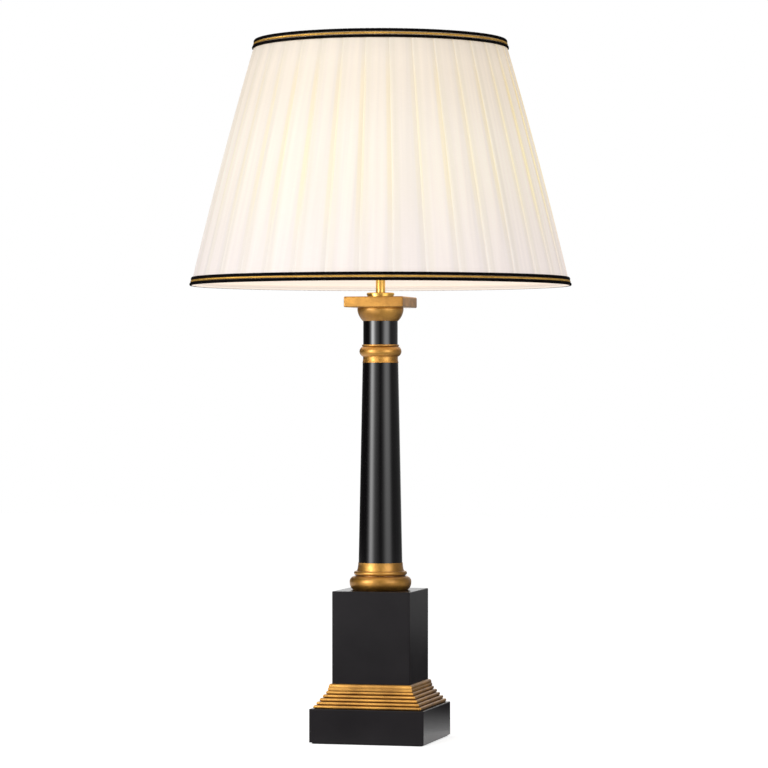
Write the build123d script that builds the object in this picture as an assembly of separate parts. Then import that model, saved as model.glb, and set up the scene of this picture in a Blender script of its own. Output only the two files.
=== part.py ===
from build123d import *
import math
import os

# A column table lamp: a turned wooden column on a square pedestal and plinth, clamped by one threaded
# rod, with a screw lampholder, a lamp bulb, a shade carrier and a pleated shade that rests on it.
# Millimetres. The origin is the centre of the foot, +Z is up and the front faces -Y.

# ---- Driving sizes: square foot -------------------------------------------------------------------
FELT_T = 1.5
FELT_INSET = 2.0  # the felt stops this far inside the plinth's edge
FELT_CORNER_R = 3.0
PLINTH_SIDE = 122.2
PLINTH_H = 34.9
PLINTH_WALL = 14.0
PLINTH_ROOF = 5.0
BLOCK_EDGE_R = 1.0  # eased edges of the lacquered blocks
COVER_T = 3.0
COVER_WALL = 5.0  # plinth wall left outside the cover's rebate
COVER_GAP = 0.2
COVER_SCREW_D = 3.0
COVER_SCREW_L = 14.0
COVER_HEAD_D = 6.0
WEIGHT_T = 10.0
WEIGHT_GAP = 1.0  # counterweight to pocket wall
MOULDING_H = 25.0
NOSE_H = 4.2
NOSE_SIDE = 88.7
NOSE_ROUND = 2.6
LIP_H = 3.1  # fillet under the nose
LIP_SIDE = 90.2
LIP_ROUND = 0.7
REED_COUNT = 5
TOP_REED_SIDE = 93.2
FOOT_REED_SIDE = 115.0
REED_ROUND_MOST = 0.45  # of a reed's height
PEDESTAL_SIDE = 83.2
PEDESTAL_H = 96.2
FRAME_SCREW_D = 4.0
FRAME_SCREW_L = 48.0
FRAME_SCREW_AT = 27.0  # screw axes from the lamp's axis, along X and Y
FRAME_HEAD_D = 8.0
HEAD_CONE = 0.6  # depth of a countersunk head per millimetre of its overhang
SCREW_FIT = 0.05
SCREW_TIP_GAP = 0.5

# ---- Driving sizes: cord inlet --------------------------------------------------------------------
INLET_Z = 11.0
INLET_BORE_D = 7.5
INLET_WALL = 1.2
INLET_FLANGE_D = 14.0
INLET_FLANGE_T = 1.5
INLET_FIT = 0.05
INLET_EDGE_R = 0.9

# ---- Driving sizes: threaded rod and its nuts -----------------------------------------------------
ROD_D = 10.0
ROD_BORE_D = 7.0
ROD_HOLE_GAP = 0.5  # clearance of the rod in the wood
ROD_TAIL = 1.0  # rod below its nut
THREAD_FIT = 0.02
ROD_NUT_AF = 14.0
ROD_NUT_T = 3.0
WASHER_D = 30.0
WASHER_T = 1.5
LOCK_WASHER_D = 18.0
LOCK_WASHER_T = 1.0
LOCK_TOOTH_COUNT = 8
LOCK_TOOTH_DEPTH = 2.0
LOCK_TOOTH_GAP = 1.8
CUT_PAST = 1.0  # cutting solids run this far past the face they cut
RING_NUT_D = 29.0
RING_NUT_T = 4.5
RING_NUT_NECK = 1.6  # height of the narrower foot under the ring nut's rim
RING_NUT_STEP = 0.7
RING_NUT_ROUND = 1.0
ROD_TOP_GAP = 1.0  # rod's end below the top of the lampholder's bush
NIPPLE_SHOW = 17.7  # rod seen between the ring nut and the lampholder

# ---- Driving sizes: column ------------------------------------------------------------------------
BASE_TORUS_H = 14.7
BASE_TORUS_R = 32.4
BASE_TORUS_FOOT_R = 28.8
BASE_TORUS_TOP_R = 26.8
BASE_TORUS_FOOT_BULGE = 0.9
BASE_TORUS_TOP_BULGE = 2.0
BASE_GROOVE_H = 0.7
BASE_GROOVE_R = 26.0
BASE_BEAD_H = 4.5
BASE_BEAD_R = 27.9
BASE_BEAD_INNER_R = 25.8
BASE_COLLAR_H = 8.6
BASE_COLLAR_FOOT_R = 24.8
BASE_COLLAR_TOP_R = 23.5
BASE_COLLAR_HOLLOW = 0.45
SHAFT_H = 209.7
SHAFT_FOOT_R = 23.05
SHAFT_TOP_R = 18.85
FILLET_H = 6.4
FILLET_FOOT_R = 19.1
FILLET_TOP_R = 18.5
FILLET_HOLLOW = 0.35
ASTRAGAL_H = 10.9
ASTRAGAL_R = 22.1
ASTRAGAL_NECK_R = 18.5
ASTRAGAL_LIP_H = 1.7
ASTRAGAL_LIP_R = 19.3
ASTRAGAL_LIP_BULGE = 0.3
NECK_H = 24.7
NECK_R = 18.25
ECHINUS_H = 14.1
ECHINUS_FOOT_R = 18.5
ECHINUS_TOP_R = 24.0
ECHINUS_WIDEST_R = 24.3
ECHINUS_WIDEST_Z = 11.6
ECHINUS_BOWL = 1.1
ECHINUS_TURN_IN = 0.1
ABACUS_SIDE = 63.5
ABACUS_T = 11.2
ABACUS_EDGE_R = 1.3
BASE_SPIGOT_R = 15.0
BASE_SPIGOT_L = 8.0
SHAFT_SPIGOT_R = 13.0
SHAFT_SPIGOT_L = 12.0
TOP_SPIGOT_R = 11.0
TOP_SPIGOT_L = 6.0
SPIGOT_FIT = 0.1
SPIGOT_END_GAP = 0.3

# ---- Driving sizes: lampholder --------------------------------------------------------------------
BULB_CAP_D = 26.4  # 27 mm screw size
CAP_FIT = 0.05
SHELL_WALL = 0.8
SHELL_FIT = 0.05
INSERT_WALL = 2.4
INSERT_H = 33.0
INSERT_FLOOR = 11.0
INSERT_FIT = 0.1
HOLDER_BUSH_R = 8.0
HOLDER_BUSH_H = 9.5
HOLDER_NECK_H = 3.0
HOLDER_DOME_H = 9.0
HOLDER_DOME_BULGE = 1.6
HOLDER_LEDGE = 2.1  # ledge in the cap that the insert stands on
HOLDER_LEDGE_T = 1.5
HOLDER_BUSH_WALL = 2.0
HOLDER_LEDGE_Z = 14.0  # ledge above the lampholder's foot
HOLDER_CAP_H = 26.0
HOLDER_CAP_WALL = 0.9
HOLDER_H = 60.0
SKIRT_LAP = 8.0  # skirt over the cap
SKIRT_LAP_WALL = 1.5
SKIRT_STOP_GAP = 0.2
SKIRT_FLANGE_R = 24.0
SKIRT_FLANGE_T = 2.0
SKIRT_RIM_R = 1.5
SKIRT_LIP = 1.7  # rim over the insert's top
SHADE_THREAD_D = 39.6
GRUB_D = 3.0
GRUB_L = 3.2
GRUB_Z = 4.5
TERMINAL_SIDE = 6.0
TERMINAL_AT = 9.0
TERMINAL_GAP = 0.1
TERMINAL_SCREW_D = 2.8
TERMINAL_SCREW_L = 4.0
TERMINAL_HEAD_D = 4.8
TERMINAL_HEAD_T = 1.5
RIVET_D = 3.0
CONTACT_W = 5.0
CONTACT_T = 0.6
CONTACT_RISE = 2.8
CONTACT_BACK = 4.0
CONTACT_FRONT = 11.0
CONTACT_LEAF = 8.5
SHELL_TAB_W = 6.0
SHELL_TAB_INNER = 6.5
TERMINAL_SLOT_W = 0.8
TERMINAL_SCREW_END = 0.2
SHADE_RING_H = 8.0
SHADE_RING_D = 58.0
SHADE_RING_FIT = 0.05
SHADE_RING_NOTCHES = 24
SHADE_RING_NOTCH_R = 1.6
SHADE_RING_NOTCH_OUT = 0.9  # notch's centre outside the ring
SHADE_RING_EDGE_R = 0.8

# ---- Driving sizes: lamp bulb ---------------------------------------------------------------------
BULB_D = 60.0
BULB_L = 108.0
BULB_TIP_GAP = 0.1
BULB_TIP_R = 4.5
BULB_TIP_TAPER = 1.5
BULB_TIP_BULGE = 0.5
BULB_TIP_H = 1.4
BULB_INSULATOR_R = 9.0
BULB_INSULATOR_H = 3.6
BULB_SHELL_H = 22.0
BULB_SHELL_WALL = 0.8
BULB_SHELL_LAP = 2.0  # cap's foot over the insulator
BULB_SHELL_BULGE = 0.6
BULB_NECK_STEP = 1.0  # neck outside the bulb's cap
BULB_NECK_H = 10.0
BULB_PLUG_L = 6.0
BULB_PLUG_R = 10.5
BULB_WALL = 2.0
BULB_SHOULDER_R = 21.5
BULB_SHOULDER_IN_R = 17.9
BULB_SHOULDER_UP = 18.0
BULB_HOUSING_H = 45.2
BULB_NECK_HOLLOW = 0.9
BULB_SHOULDER_BULGE = 0.6
DIFFUSER_WALL = 1.5
LED_BOARD_T = 1.6
LED_BOARD_DROP = 3.2  # board's underside below the housing's rim
LED_BOARD_FIT = 0.2
LED_BOARD_RIM = 0.5  # extra housing wall round the board
LED_LEDGE = 2.0
LED_COUNT = 12
LED_SIDE = 3.0
LED_T = 0.8
LED_AT_R = 17.0
DRIVER_W = 20.0
DRIVER_T = 1.2
DRIVER_TAIL = 12.0  # driver board above the bulb's tip

# ---- Driving sizes: shade carrier -----------------------------------------------------------------
CARRIER_H = 127.0
CARRIER_PLATE_T = 1.5
CARRIER_PLATE_GAP = 0.5
CARRIER_PLATE_RIM = 4.5  # plate outside the shade ring
CARRIER_ARM_IN = 1.95  # arm's axis inside the plate's edge
CARRIER_RING_OUT_R = 52.0
CARRIER_RING_W = 6.0
CARRIER_RING_T = 1.5
CARRIER_WIRE_D = 3.0
CARRIER_ARM_COUNT = 3
CARRIER_ARM_FOOT = 14.0
CARRIER_ARM_FLARE = 36.0
CARRIER_BEND_R = 14.0
RING_RUN_GAP = 0.05

# ---- Driving sizes: shade -------------------------------------------------------------------------
SHADE_BOTTOM_R = 200.0
SHADE_TOP_R = 131.9
SHADE_H = 257.9
GIMBAL_DROP = 92.3  # top edge of the shade above the carrier's seat
PLEAT_COUNT = 36
PLEAT_PHASE = 7.97  # degrees from +X to the first fold
PLEAT_RISE = 1.3
PLEAT_STEP = 0.04  # share of a pleat that its fold takes
PLEAT_SPANS = 4  # straight spans across a pleat's face
CLOTH_T = 0.7
CLOTH_TURN = 0.3  # cloth and lining stop this far inside the braid's edge
LINING_T = 1.0
LINING_GAP = 0.1
RIB_COUNT = 3
RIB_W = 3.44
RIB_GAP = 0.05
RIB_SIDE = 0.5  # rib's straight side before its bevel
RIB_BEVEL = 0.9  # bevel's height
BLACK_RISE = 1.5
GOLD_RISE = 1.1
BRAID_BACK = 0.1  # braid's back to the folds' crests
WIRE_D = 3.5
WIRE_IN = 3.5  # wire's centre inside the shade's edge
WIRE_GAP = 0.1
GIMBAL_PLATE_T = 1.5
GIMBAL_LIP_T = 1.4
GIMBAL_EDGE_R = 1.0
GIMBAL_LIP_DROP = 5.0
GIMBAL_LIP_GAP = 0.6
GIMBAL_OVERHANG = 1.0  # gimbal plate inside the carrier's ring
GIMBAL_WIRE_D = 3.0
GIMBAL_ARM_COUNT = 3
GIMBAL_ARM_OUT = 12.0
GIMBAL_ARM_UP = 0.5  # arm's axis above the middle of the lip
GIMBAL_BEND_R = 8.0
GIMBAL_TURN = 60.0  # gimbal arms stand between the carrier's arms

QUARTER_BULGE = 1 - math.cos(math.pi / 4)  # bulge of a quarter round, per millimetre of its radius

# ---- Heights that follow --------------------------------------------------------------------------
PLINTH_Z = FELT_T
PLINTH_TOP = PLINTH_Z + PLINTH_H
MOULDING_TOP = PLINTH_TOP + MOULDING_H
PEDESTAL_TOP = MOULDING_TOP + PEDESTAL_H
BASE_H = BASE_TORUS_H + BASE_GROOVE_H + BASE_BEAD_H + BASE_COLLAR_H
BASE_TOP = PEDESTAL_TOP + BASE_H
SHAFT_TOP = BASE_TOP + SHAFT_H
ASTRAGAL_TOP = SHAFT_TOP + FILLET_H + ASTRAGAL_H + ASTRAGAL_LIP_H
NECK_TOP = ASTRAGAL_TOP + NECK_H
ECHINUS_TOP = NECK_TOP + ECHINUS_H
ABACUS_TOP = ECHINUS_TOP + ABACUS_T
RING_NUT_TOP = ABACUS_TOP + RING_NUT_T
HOLDER_Z = RING_NUT_TOP + NIPPLE_SHOW
COVER_TOP = PLINTH_Z + COVER_T
POCKET_TOP = PLINTH_TOP - PLINTH_ROOF
WEIGHT_Z = POCKET_TOP - WEIGHT_T
WASHER_Z = WEIGHT_Z - WASHER_T
LOCK_WASHER_Z = WASHER_Z - LOCK_WASHER_T
ROD_NUT_Z = LOCK_WASHER_Z - ROD_NUT_T
ROD_Z = ROD_NUT_Z - ROD_TAIL
ROD_TOP = HOLDER_Z + HOLDER_BUSH_H - ROD_TOP_GAP
INSERT_Z = HOLDER_Z + HOLDER_LEDGE_Z
WELL_Z = INSERT_Z + INSERT_FLOOR
INSERT_TOP = INSERT_Z + INSERT_H
HOLDER_CAP_TOP = HOLDER_Z + HOLDER_CAP_H
HOLDER_TOP = HOLDER_Z + HOLDER_H
SKIRT_Z = HOLDER_CAP_TOP - SKIRT_LAP
FLANGE_TOP = HOLDER_CAP_TOP + SKIRT_FLANGE_T
PLATE_TOP = FLANGE_TOP + CARRIER_PLATE_T
SEAT_Z = FLANGE_TOP + CARRIER_H
SHADE_TOP_Z = SEAT_Z + GIMBAL_DROP
SHADE_BOTTOM_Z = SHADE_TOP_Z - SHADE_H
BULB_TIP_Z = WELL_Z + CONTACT_RISE + BULB_TIP_GAP
BULB_SHELL_Z = BULB_TIP_Z + BULB_TIP_H + BULB_INSULATOR_H
BULB_NECK_Z = BULB_SHELL_Z + BULB_SHELL_H
BULB_RIM_Z = BULB_NECK_Z + BULB_HOUSING_H
BULB_CENTRE_Z = BULB_TIP_Z + BULB_L - BULB_D / 2
LED_BOARD_Z = BULB_RIM_Z - LED_BOARD_DROP

# ---- Radii and places that follow -----------------------------------------------------------------
ROD_R = ROD_D / 2
ROD_HOLE_R = ROD_R + ROD_HOLE_GAP
NUT_BORE_R = ROD_R + THREAD_FIT
POCKET_SIDE = PLINTH_SIDE - 2 * PLINTH_WALL
REBATE_SIDE = PLINTH_SIDE - 2 * COVER_WALL
COVER_SCREW_AT = (POCKET_SIDE + REBATE_SIDE) / 4
INLET_R = INLET_BORE_D / 2 + INLET_WALL
SHELL_IN_R = BULB_CAP_D / 2 + CAP_FIT
SHELL_OUT_R = SHELL_IN_R + SHELL_WALL
WELL_R = SHELL_OUT_R + SHELL_FIT
INSERT_R = WELL_R + INSERT_WALL
HOLDER_CAP_IN_R = INSERT_R + INSERT_FIT
HOLDER_CAP_R = HOLDER_CAP_IN_R + HOLDER_CAP_WALL
SKIRT_IN_R = HOLDER_CAP_IN_R
SKIRT_LAP_R = HOLDER_CAP_R + THREAD_FIT
SHADE_THREAD_R = SHADE_THREAD_D / 2
SHADE_RING_R = SHADE_RING_D / 2
CARRIER_PLATE_R = SHADE_RING_R + CARRIER_PLATE_RIM
CARRIER_ARM_R = CARRIER_PLATE_R - CARRIER_ARM_IN
CARRIER_RING_MID_R = CARRIER_RING_OUT_R - CARRIER_RING_W / 2
GIMBAL_LIP_IN_R = CARRIER_RING_OUT_R + GIMBAL_LIP_GAP
GIMBAL_R = GIMBAL_LIP_IN_R + GIMBAL_LIP_T
BULB_NECK_R = BULB_CAP_D / 2 + BULB_NECK_STEP
BULB_RIM_R = math.sqrt((BULB_D / 2) ** 2 - (BULB_CENTRE_Z - BULB_RIM_Z) ** 2)
LED_BOARD_R = BULB_RIM_R - BULB_WALL - LED_BOARD_FIT - LED_BOARD_RIM
LEAN = math.atan((SHADE_BOTTOM_R - SHADE_TOP_R) / SHADE_H)
BRAID_PROUD = BLACK_RISE / math.cos(LEAN) + BRAID_BACK
CLOTH_IN = BRAID_PROUD + PLEAT_RISE + CLOTH_T
LINING_OUT = CLOTH_IN + LINING_GAP
LINING_IN = LINING_OUT + LINING_T
WIRE_OFF = LINING_IN + WIRE_GAP + WIRE_D / 2 / math.cos(LEAN)
BRAID_RIB_H = RIB_W * math.cos(LEAN)


# ---- Shapes ---------------------------------------------------------------------------------------
def disc(radius, low, high):
    """Upright cylinder on the lamp's axis."""
    return Pos(0, 0, low) * Cylinder(radius, high - low, align=(Align.CENTER, Align.CENTER, Align.MIN))


def tube(outer, inner, low, high):
    """Upright ring on the lamp's axis."""
    return disc(outer, low, high) - disc(inner, low - CUT_PAST, high + CUT_PAST)


def block(width, depth, low, high):
    """Upright block centred on the lamp's axis."""
    return Pos(0, 0, low) * Box(width, depth, high - low, align=(Align.CENTER, Align.CENTER, Align.MIN))


def turned(start, *runs):
    """Solid of revolution. Each run is (radius, z), or (radius, z, bulge) for an arc that bulges to
    the right of its travel, which is outwards on an outline that climbs its outer side."""
    edges = []
    here = start
    for run in runs + (start,):
        end = (run[0], run[1])
        if len(run) == 3:
            edges.append(SagittaArc(here, end, -run[2]))
        else:
            edges.append(Line(here, end))
        here = end
    return revolve(Plane.XZ * make_face(edges), Axis.Z)


def socket(radius, length, top):
    """Hole for the spigot of the piece above, from a seat at this height down."""
    return disc(radius + SPIGOT_FIT, top - length - SPIGOT_END_GAP, top)


def spigot(radius, length, top):
    """Peg below a seat, with the rod's hole through it."""
    return tube(radius, ROD_HOLE_R, top - length, top)


def countersunk(shank_d, head_d, length, head_z):
    """Screw that points up, its flat head at this height, centred on the axis."""
    cone_h = (head_d - shank_d) / 2 * HEAD_CONE
    head = Pos(0, 0, head_z) * Cone(
        head_d / 2, shank_d / 2, cone_h, align=(Align.CENTER, Align.CENTER, Align.MIN)
    )
    return head + disc(shank_d / 2, head_z, head_z + length)


def bored_past(screws):
    """Blind holes for screws, with room at their tips."""
    return screws + [Pos(0, 0, SCREW_TIP_GAP) * screw for screw in screws]


def at_corners(half, shape):
    """The shape at the four corners of a square."""
    return [Pos(x * half, y * half, 0) * shape for x in (-1, 1) for y in (-1, 1)]


def around(count, turn, shape):
    """Copies of the shape, evenly spaced round the axis."""
    return [Rot(0, 0, turn + 360 / count * i) * shape for i in range(count)]


def wire(points, bend_r, diameter):
    """Bent wire in the XZ plane through these corners."""
    path = Plane.XZ * FilletPolyline(*points, radius=bend_r)
    section = Plane(path @ 0, z_dir=path % 0) * Circle(diameter / 2)
    return sweep(section, path)


def group(solids):
    """Separate solids that share one node."""
    return Compound(children=[part.solid() for part in solids])


# ---- Square foot ----------------------------------------------------------------------------------
def make_felt_pad():
    side = PLINTH_SIDE - 2 * FELT_INSET
    pad = block(side, side, 0, FELT_T)
    return fillet(pad.edges().filter_by(Axis.Z), FELT_CORNER_R)


def cover_screws(fit):
    screw = countersunk(COVER_SCREW_D + 2 * fit, COVER_HEAD_D + 2 * fit, COVER_SCREW_L, PLINTH_Z)
    return at_corners(COVER_SCREW_AT, screw)


def make_base_cover():
    side = REBATE_SIDE - 2 * COVER_GAP
    return block(side, side, PLINTH_Z, COVER_TOP) - cover_screws(SCREW_FIT)


def make_base_cover_screws():
    return group(cover_screws(0))


def frame_screws(fit):
    screw = countersunk(FRAME_SCREW_D + 2 * fit, FRAME_HEAD_D + 2 * fit, FRAME_SCREW_L, POCKET_TOP)
    return at_corners(FRAME_SCREW_AT, screw)


def make_frame_screws():
    return group(frame_screws(0))


def make_plinth():
    body = block(PLINTH_SIDE, PLINTH_SIDE, PLINTH_Z, PLINTH_TOP)
    body = fillet(body.edges().filter_by(Axis.Z) + body.edges().group_by(Axis.Z)[-1], BLOCK_EDGE_R)
    body -= block(REBATE_SIDE, REBATE_SIDE, PLINTH_Z, COVER_TOP)
    body -= block(POCKET_SIDE, POCKET_SIDE, PLINTH_Z, POCKET_TOP)
    body -= disc(ROD_HOLE_R, POCKET_TOP, PLINTH_TOP)
    body -= frame_screws(SCREW_FIT)
    body -= bored_past(cover_screws(SCREW_FIT))
    hole = extrude(Plane.XZ * Circle(INLET_R + INLET_FIT), -PLINTH_SIDE)
    return body - Pos(0, 0, INLET_Z) * hole


def make_counterweight():
    side = POCKET_SIDE - 2 * WEIGHT_GAP
    return block(side, side, WEIGHT_Z, POCKET_TOP) - disc(ROD_HOLE_R, WEIGHT_Z, POCKET_TOP)


def make_cord_inlet_bush():
    upright = Plane.XZ
    body = extrude(upright * Circle(INLET_R), PLINTH_WALL)
    body += extrude(upright * Circle(INLET_FLANGE_D / 2), -INLET_FLANGE_T)
    rim = body.faces().sort_by(Axis.Y)[-1].edges()
    body = fillet(rim, INLET_EDGE_R)
    body -= extrude(upright * Circle(INLET_BORE_D / 2), 2 * PLINTH_WALL, both=True)
    return Pos(0, PLINTH_SIDE / 2, INLET_Z) * body


def reed_side(index):
    """Side of one reed, counted from the top."""
    return TOP_REED_SIDE + (FOOT_REED_SIDE - TOP_REED_SIDE) * index / (REED_COUNT - 1)


def rounded_slab(side, low, high, round_r):
    slab = block(side, side, low, high)
    return fillet(slab.edges().filter_by(Axis.Z, reverse=True), round_r)


def make_stepped_moulding():
    reed_h = (MOULDING_H - NOSE_H - LIP_H) / REED_COUNT
    nose_z = MOULDING_TOP - NOSE_H
    lip_z = nose_z - LIP_H
    body = block(NOSE_SIDE, NOSE_SIDE, nose_z, MOULDING_TOP)
    body = fillet(body.edges().group_by(Axis.Z)[-1], NOSE_ROUND)
    body += rounded_slab(LIP_SIDE, lip_z, nose_z, LIP_ROUND)
    for index in range(REED_COUNT):
        top = lip_z - reed_h * index
        body += rounded_slab(reed_side(index), top - reed_h, top, REED_ROUND_MOST * reed_h)
    body -= disc(ROD_HOLE_R, PLINTH_TOP, MOULDING_TOP)
    return body - frame_screws(SCREW_FIT)


def make_pedestal():
    body = block(PEDESTAL_SIDE, PEDESTAL_SIDE, MOULDING_TOP, PEDESTAL_TOP)
    body = fillet(body.edges().filter_by(Axis.Z) + body.edges().group_by(Axis.Z)[-1], BLOCK_EDGE_R)
    body -= disc(ROD_HOLE_R, MOULDING_TOP, PEDESTAL_TOP)
    body -= bored_past(frame_screws(SCREW_FIT))
    return body - socket(BASE_SPIGOT_R, BASE_SPIGOT_L, PEDESTAL_TOP)


# ---- Column ---------------------------------------------------------------------------------------
def make_column_base():
    z = PEDESTAL_TOP
    torus_top = z + BASE_TORUS_H
    bead_z = torus_top + BASE_GROOVE_H
    collar_z = bead_z + BASE_BEAD_H
    widest = z + BASE_TORUS_H / 2
    body = turned(
        (ROD_HOLE_R, z),
        (BASE_TORUS_FOOT_R, z),
        (BASE_TORUS_R, widest, BASE_TORUS_FOOT_BULGE),
        (BASE_TORUS_TOP_R, torus_top, BASE_TORUS_TOP_BULGE),
        (BASE_GROOVE_R, torus_top),
        (BASE_GROOVE_R, bead_z),
        (BASE_BEAD_INNER_R, bead_z),
        (BASE_BEAD_INNER_R, collar_z, BASE_BEAD_R - BASE_BEAD_INNER_R),
        (BASE_COLLAR_FOOT_R, collar_z),
        (BASE_COLLAR_TOP_R, BASE_TOP, -BASE_COLLAR_HOLLOW),
        (ROD_HOLE_R, BASE_TOP),
    )
    body += spigot(BASE_SPIGOT_R, BASE_SPIGOT_L, z)
    return body - socket(SHAFT_SPIGOT_R, SHAFT_SPIGOT_L, BASE_TOP)


def make_column_shaft():
    body = turned(
        (ROD_HOLE_R, BASE_TOP),
        (SHAFT_FOOT_R, BASE_TOP),
        (SHAFT_TOP_R, SHAFT_TOP),
        (ROD_HOLE_R, SHAFT_TOP),
    )
    body += spigot(SHAFT_SPIGOT_R, SHAFT_SPIGOT_L, BASE_TOP)
    return body - socket(TOP_SPIGOT_R, TOP_SPIGOT_L, SHAFT_TOP)


def make_astragal_ring():
    ring_z = SHAFT_TOP + FILLET_H
    lip_z = ring_z + ASTRAGAL_H
    body = turned(
        (ROD_HOLE_R, SHAFT_TOP),
        (FILLET_FOOT_R, SHAFT_TOP),
        (FILLET_TOP_R, ring_z, -FILLET_HOLLOW),
        (ASTRAGAL_NECK_R, lip_z, ASTRAGAL_R - ASTRAGAL_NECK_R),
        (ASTRAGAL_LIP_R, lip_z),
        (ASTRAGAL_LIP_R, ASTRAGAL_TOP, ASTRAGAL_LIP_BULGE),
        (ROD_HOLE_R, ASTRAGAL_TOP),
    )
    body += spigot(TOP_SPIGOT_R, TOP_SPIGOT_L, SHAFT_TOP)
    return body - socket(TOP_SPIGOT_R, TOP_SPIGOT_L, ASTRAGAL_TOP)


def make_column_neck():
    body = tube(NECK_R, ROD_HOLE_R, ASTRAGAL_TOP, NECK_TOP)
    body += spigot(TOP_SPIGOT_R, TOP_SPIGOT_L, ASTRAGAL_TOP)
    return body - socket(TOP_SPIGOT_R, TOP_SPIGOT_L, NECK_TOP)


def make_echinus():
    body = turned(
        (ROD_HOLE_R, NECK_TOP),
        (ECHINUS_FOOT_R, NECK_TOP),
        (ECHINUS_WIDEST_R, NECK_TOP + ECHINUS_WIDEST_Z, ECHINUS_BOWL),
        (ECHINUS_TOP_R, ECHINUS_TOP, ECHINUS_TURN_IN),
        (ROD_HOLE_R, ECHINUS_TOP),
    )
    body += spigot(TOP_SPIGOT_R, TOP_SPIGOT_L, NECK_TOP)
    return body - socket(TOP_SPIGOT_R, TOP_SPIGOT_L, ECHINUS_TOP)


def make_abacus():
    body = block(ABACUS_SIDE, ABACUS_SIDE, ECHINUS_TOP, ABACUS_TOP)
    body = fillet(body.edges(), ABACUS_EDGE_R)
    body -= disc(ROD_HOLE_R, ECHINUS_TOP, ABACUS_TOP)
    return body + spigot(TOP_SPIGOT_R, TOP_SPIGOT_L, ECHINUS_TOP)


# ---- Rod and nuts ---------------------------------------------------------------------------------
def make_threaded_rod():
    return tube(ROD_R, ROD_BORE_D / 2, ROD_Z, ROD_TOP)


def make_rod_washer():
    return tube(WASHER_D / 2, ROD_HOLE_R, WASHER_Z, WEIGHT_Z)


def make_rod_lock_washer():
    body = tube(LOCK_WASHER_D / 2, ROD_HOLE_R, LOCK_WASHER_Z, WASHER_Z)
    slot = block(2 * LOCK_TOOTH_DEPTH, LOCK_TOOTH_GAP, LOCK_WASHER_Z, WASHER_Z)
    slot = Pos(LOCK_WASHER_D / 2, 0, 0) * slot
    return body - around(LOCK_TOOTH_COUNT, 0, slot)


def make_rod_nut():
    hexagon = RegularPolygon(ROD_NUT_AF / 2, 6, major_radius=False)
    body = extrude(Pos(0, 0, ROD_NUT_Z) * hexagon, ROD_NUT_T)
    return body - disc(NUT_BORE_R, ROD_NUT_Z, LOCK_WASHER_Z)


def make_top_ring_nut():
    step_z = ABACUS_TOP + RING_NUT_NECK
    rim_r = RING_NUT_D / 2
    return turned(
        (NUT_BORE_R, ABACUS_TOP),
        (rim_r - RING_NUT_STEP, ABACUS_TOP),
        (rim_r - RING_NUT_STEP, step_z),
        (rim_r, step_z),
        (rim_r, RING_NUT_TOP - RING_NUT_ROUND),
        (rim_r - RING_NUT_ROUND, RING_NUT_TOP, RING_NUT_ROUND * QUARTER_BULGE),
        (NUT_BORE_R, RING_NUT_TOP),
    )


# ---- Lampholder -----------------------------------------------------------------------------------
def make_lampholder_cap():
    neck_top = HOLDER_Z + HOLDER_NECK_H
    dome_top = neck_top + HOLDER_DOME_H
    bush_top = HOLDER_Z + HOLDER_BUSH_H
    ledge_r = HOLDER_CAP_IN_R - HOLDER_LEDGE
    body = turned(
        (NUT_BORE_R, HOLDER_Z),
        (HOLDER_BUSH_R, HOLDER_Z),
        (HOLDER_BUSH_R, neck_top),
        (HOLDER_CAP_R, dome_top, HOLDER_DOME_BULGE),
        (HOLDER_CAP_R, HOLDER_CAP_TOP),
        (HOLDER_CAP_IN_R, HOLDER_CAP_TOP),
        (HOLDER_CAP_IN_R, INSERT_Z),
        (ledge_r, INSERT_Z),
        (ledge_r, INSERT_Z - HOLDER_LEDGE_T),
        (NUT_BORE_R + HOLDER_BUSH_WALL, bush_top),
        (NUT_BORE_R, bush_top),
    )
    hole = Pos(0, 0, HOLDER_Z + GRUB_Z) * Rot(0, 90, 0) * Cylinder(
        GRUB_D / 2 + SCREW_FIT, 3 * HOLDER_BUSH_R, align=(Align.CENTER, Align.CENTER, Align.MIN)
    )
    return body - hole


def make_cap_grub_screw():
    screw = Rot(0, 90, 0) * Cylinder(GRUB_D / 2, GRUB_L, align=(Align.CENTER, Align.CENTER, Align.MIN))
    return Pos(ROD_R + THREAD_FIT, 0, HOLDER_Z + GRUB_Z) * screw


def terminal_places(shape):
    """The shape at both terminals."""
    return [Pos(0, side * TERMINAL_AT, 0) * shape for side in (-1, 1)]


def make_lampholder_insert():
    block_top = INSERT_Z + TERMINAL_SIDE + TERMINAL_GAP
    body = disc(INSERT_R, INSERT_Z, INSERT_TOP) - disc(WELL_R, WELL_Z, INSERT_TOP)
    pocket_side = TERMINAL_SIDE + 2 * TERMINAL_GAP
    body -= terminal_places(block(pocket_side, pocket_side, INSERT_Z, block_top))
    return body - terminal_places(disc(RIVET_D / 2 + SCREW_FIT, INSERT_Z, WELL_Z))


def make_terminal_blocks():
    top = INSERT_Z + TERMINAL_SIDE
    body = block(TERMINAL_SIDE, TERMINAL_SIDE, INSERT_Z, top)
    body -= disc(TERMINAL_SCREW_D / 2 + THREAD_FIT, INSERT_Z, INSERT_Z + TERMINAL_SCREW_L)
    return group(terminal_places(body))


def make_terminal_screws():
    body = disc(TERMINAL_HEAD_D / 2, INSERT_Z - TERMINAL_HEAD_T, INSERT_Z)
    body += disc(TERMINAL_SCREW_D / 2, INSERT_Z, INSERT_Z + TERMINAL_SCREW_L - TERMINAL_SCREW_END)
    slot = block(TERMINAL_HEAD_D, TERMINAL_SLOT_W, INSERT_Z - TERMINAL_HEAD_T, INSERT_Z - TERMINAL_HEAD_T / 2)
    return group(terminal_places(body - slot))


def make_contact_rivets():
    return group(terminal_places(disc(RIVET_D / 2, INSERT_Z + TERMINAL_SIDE, WELL_Z)))


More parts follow.
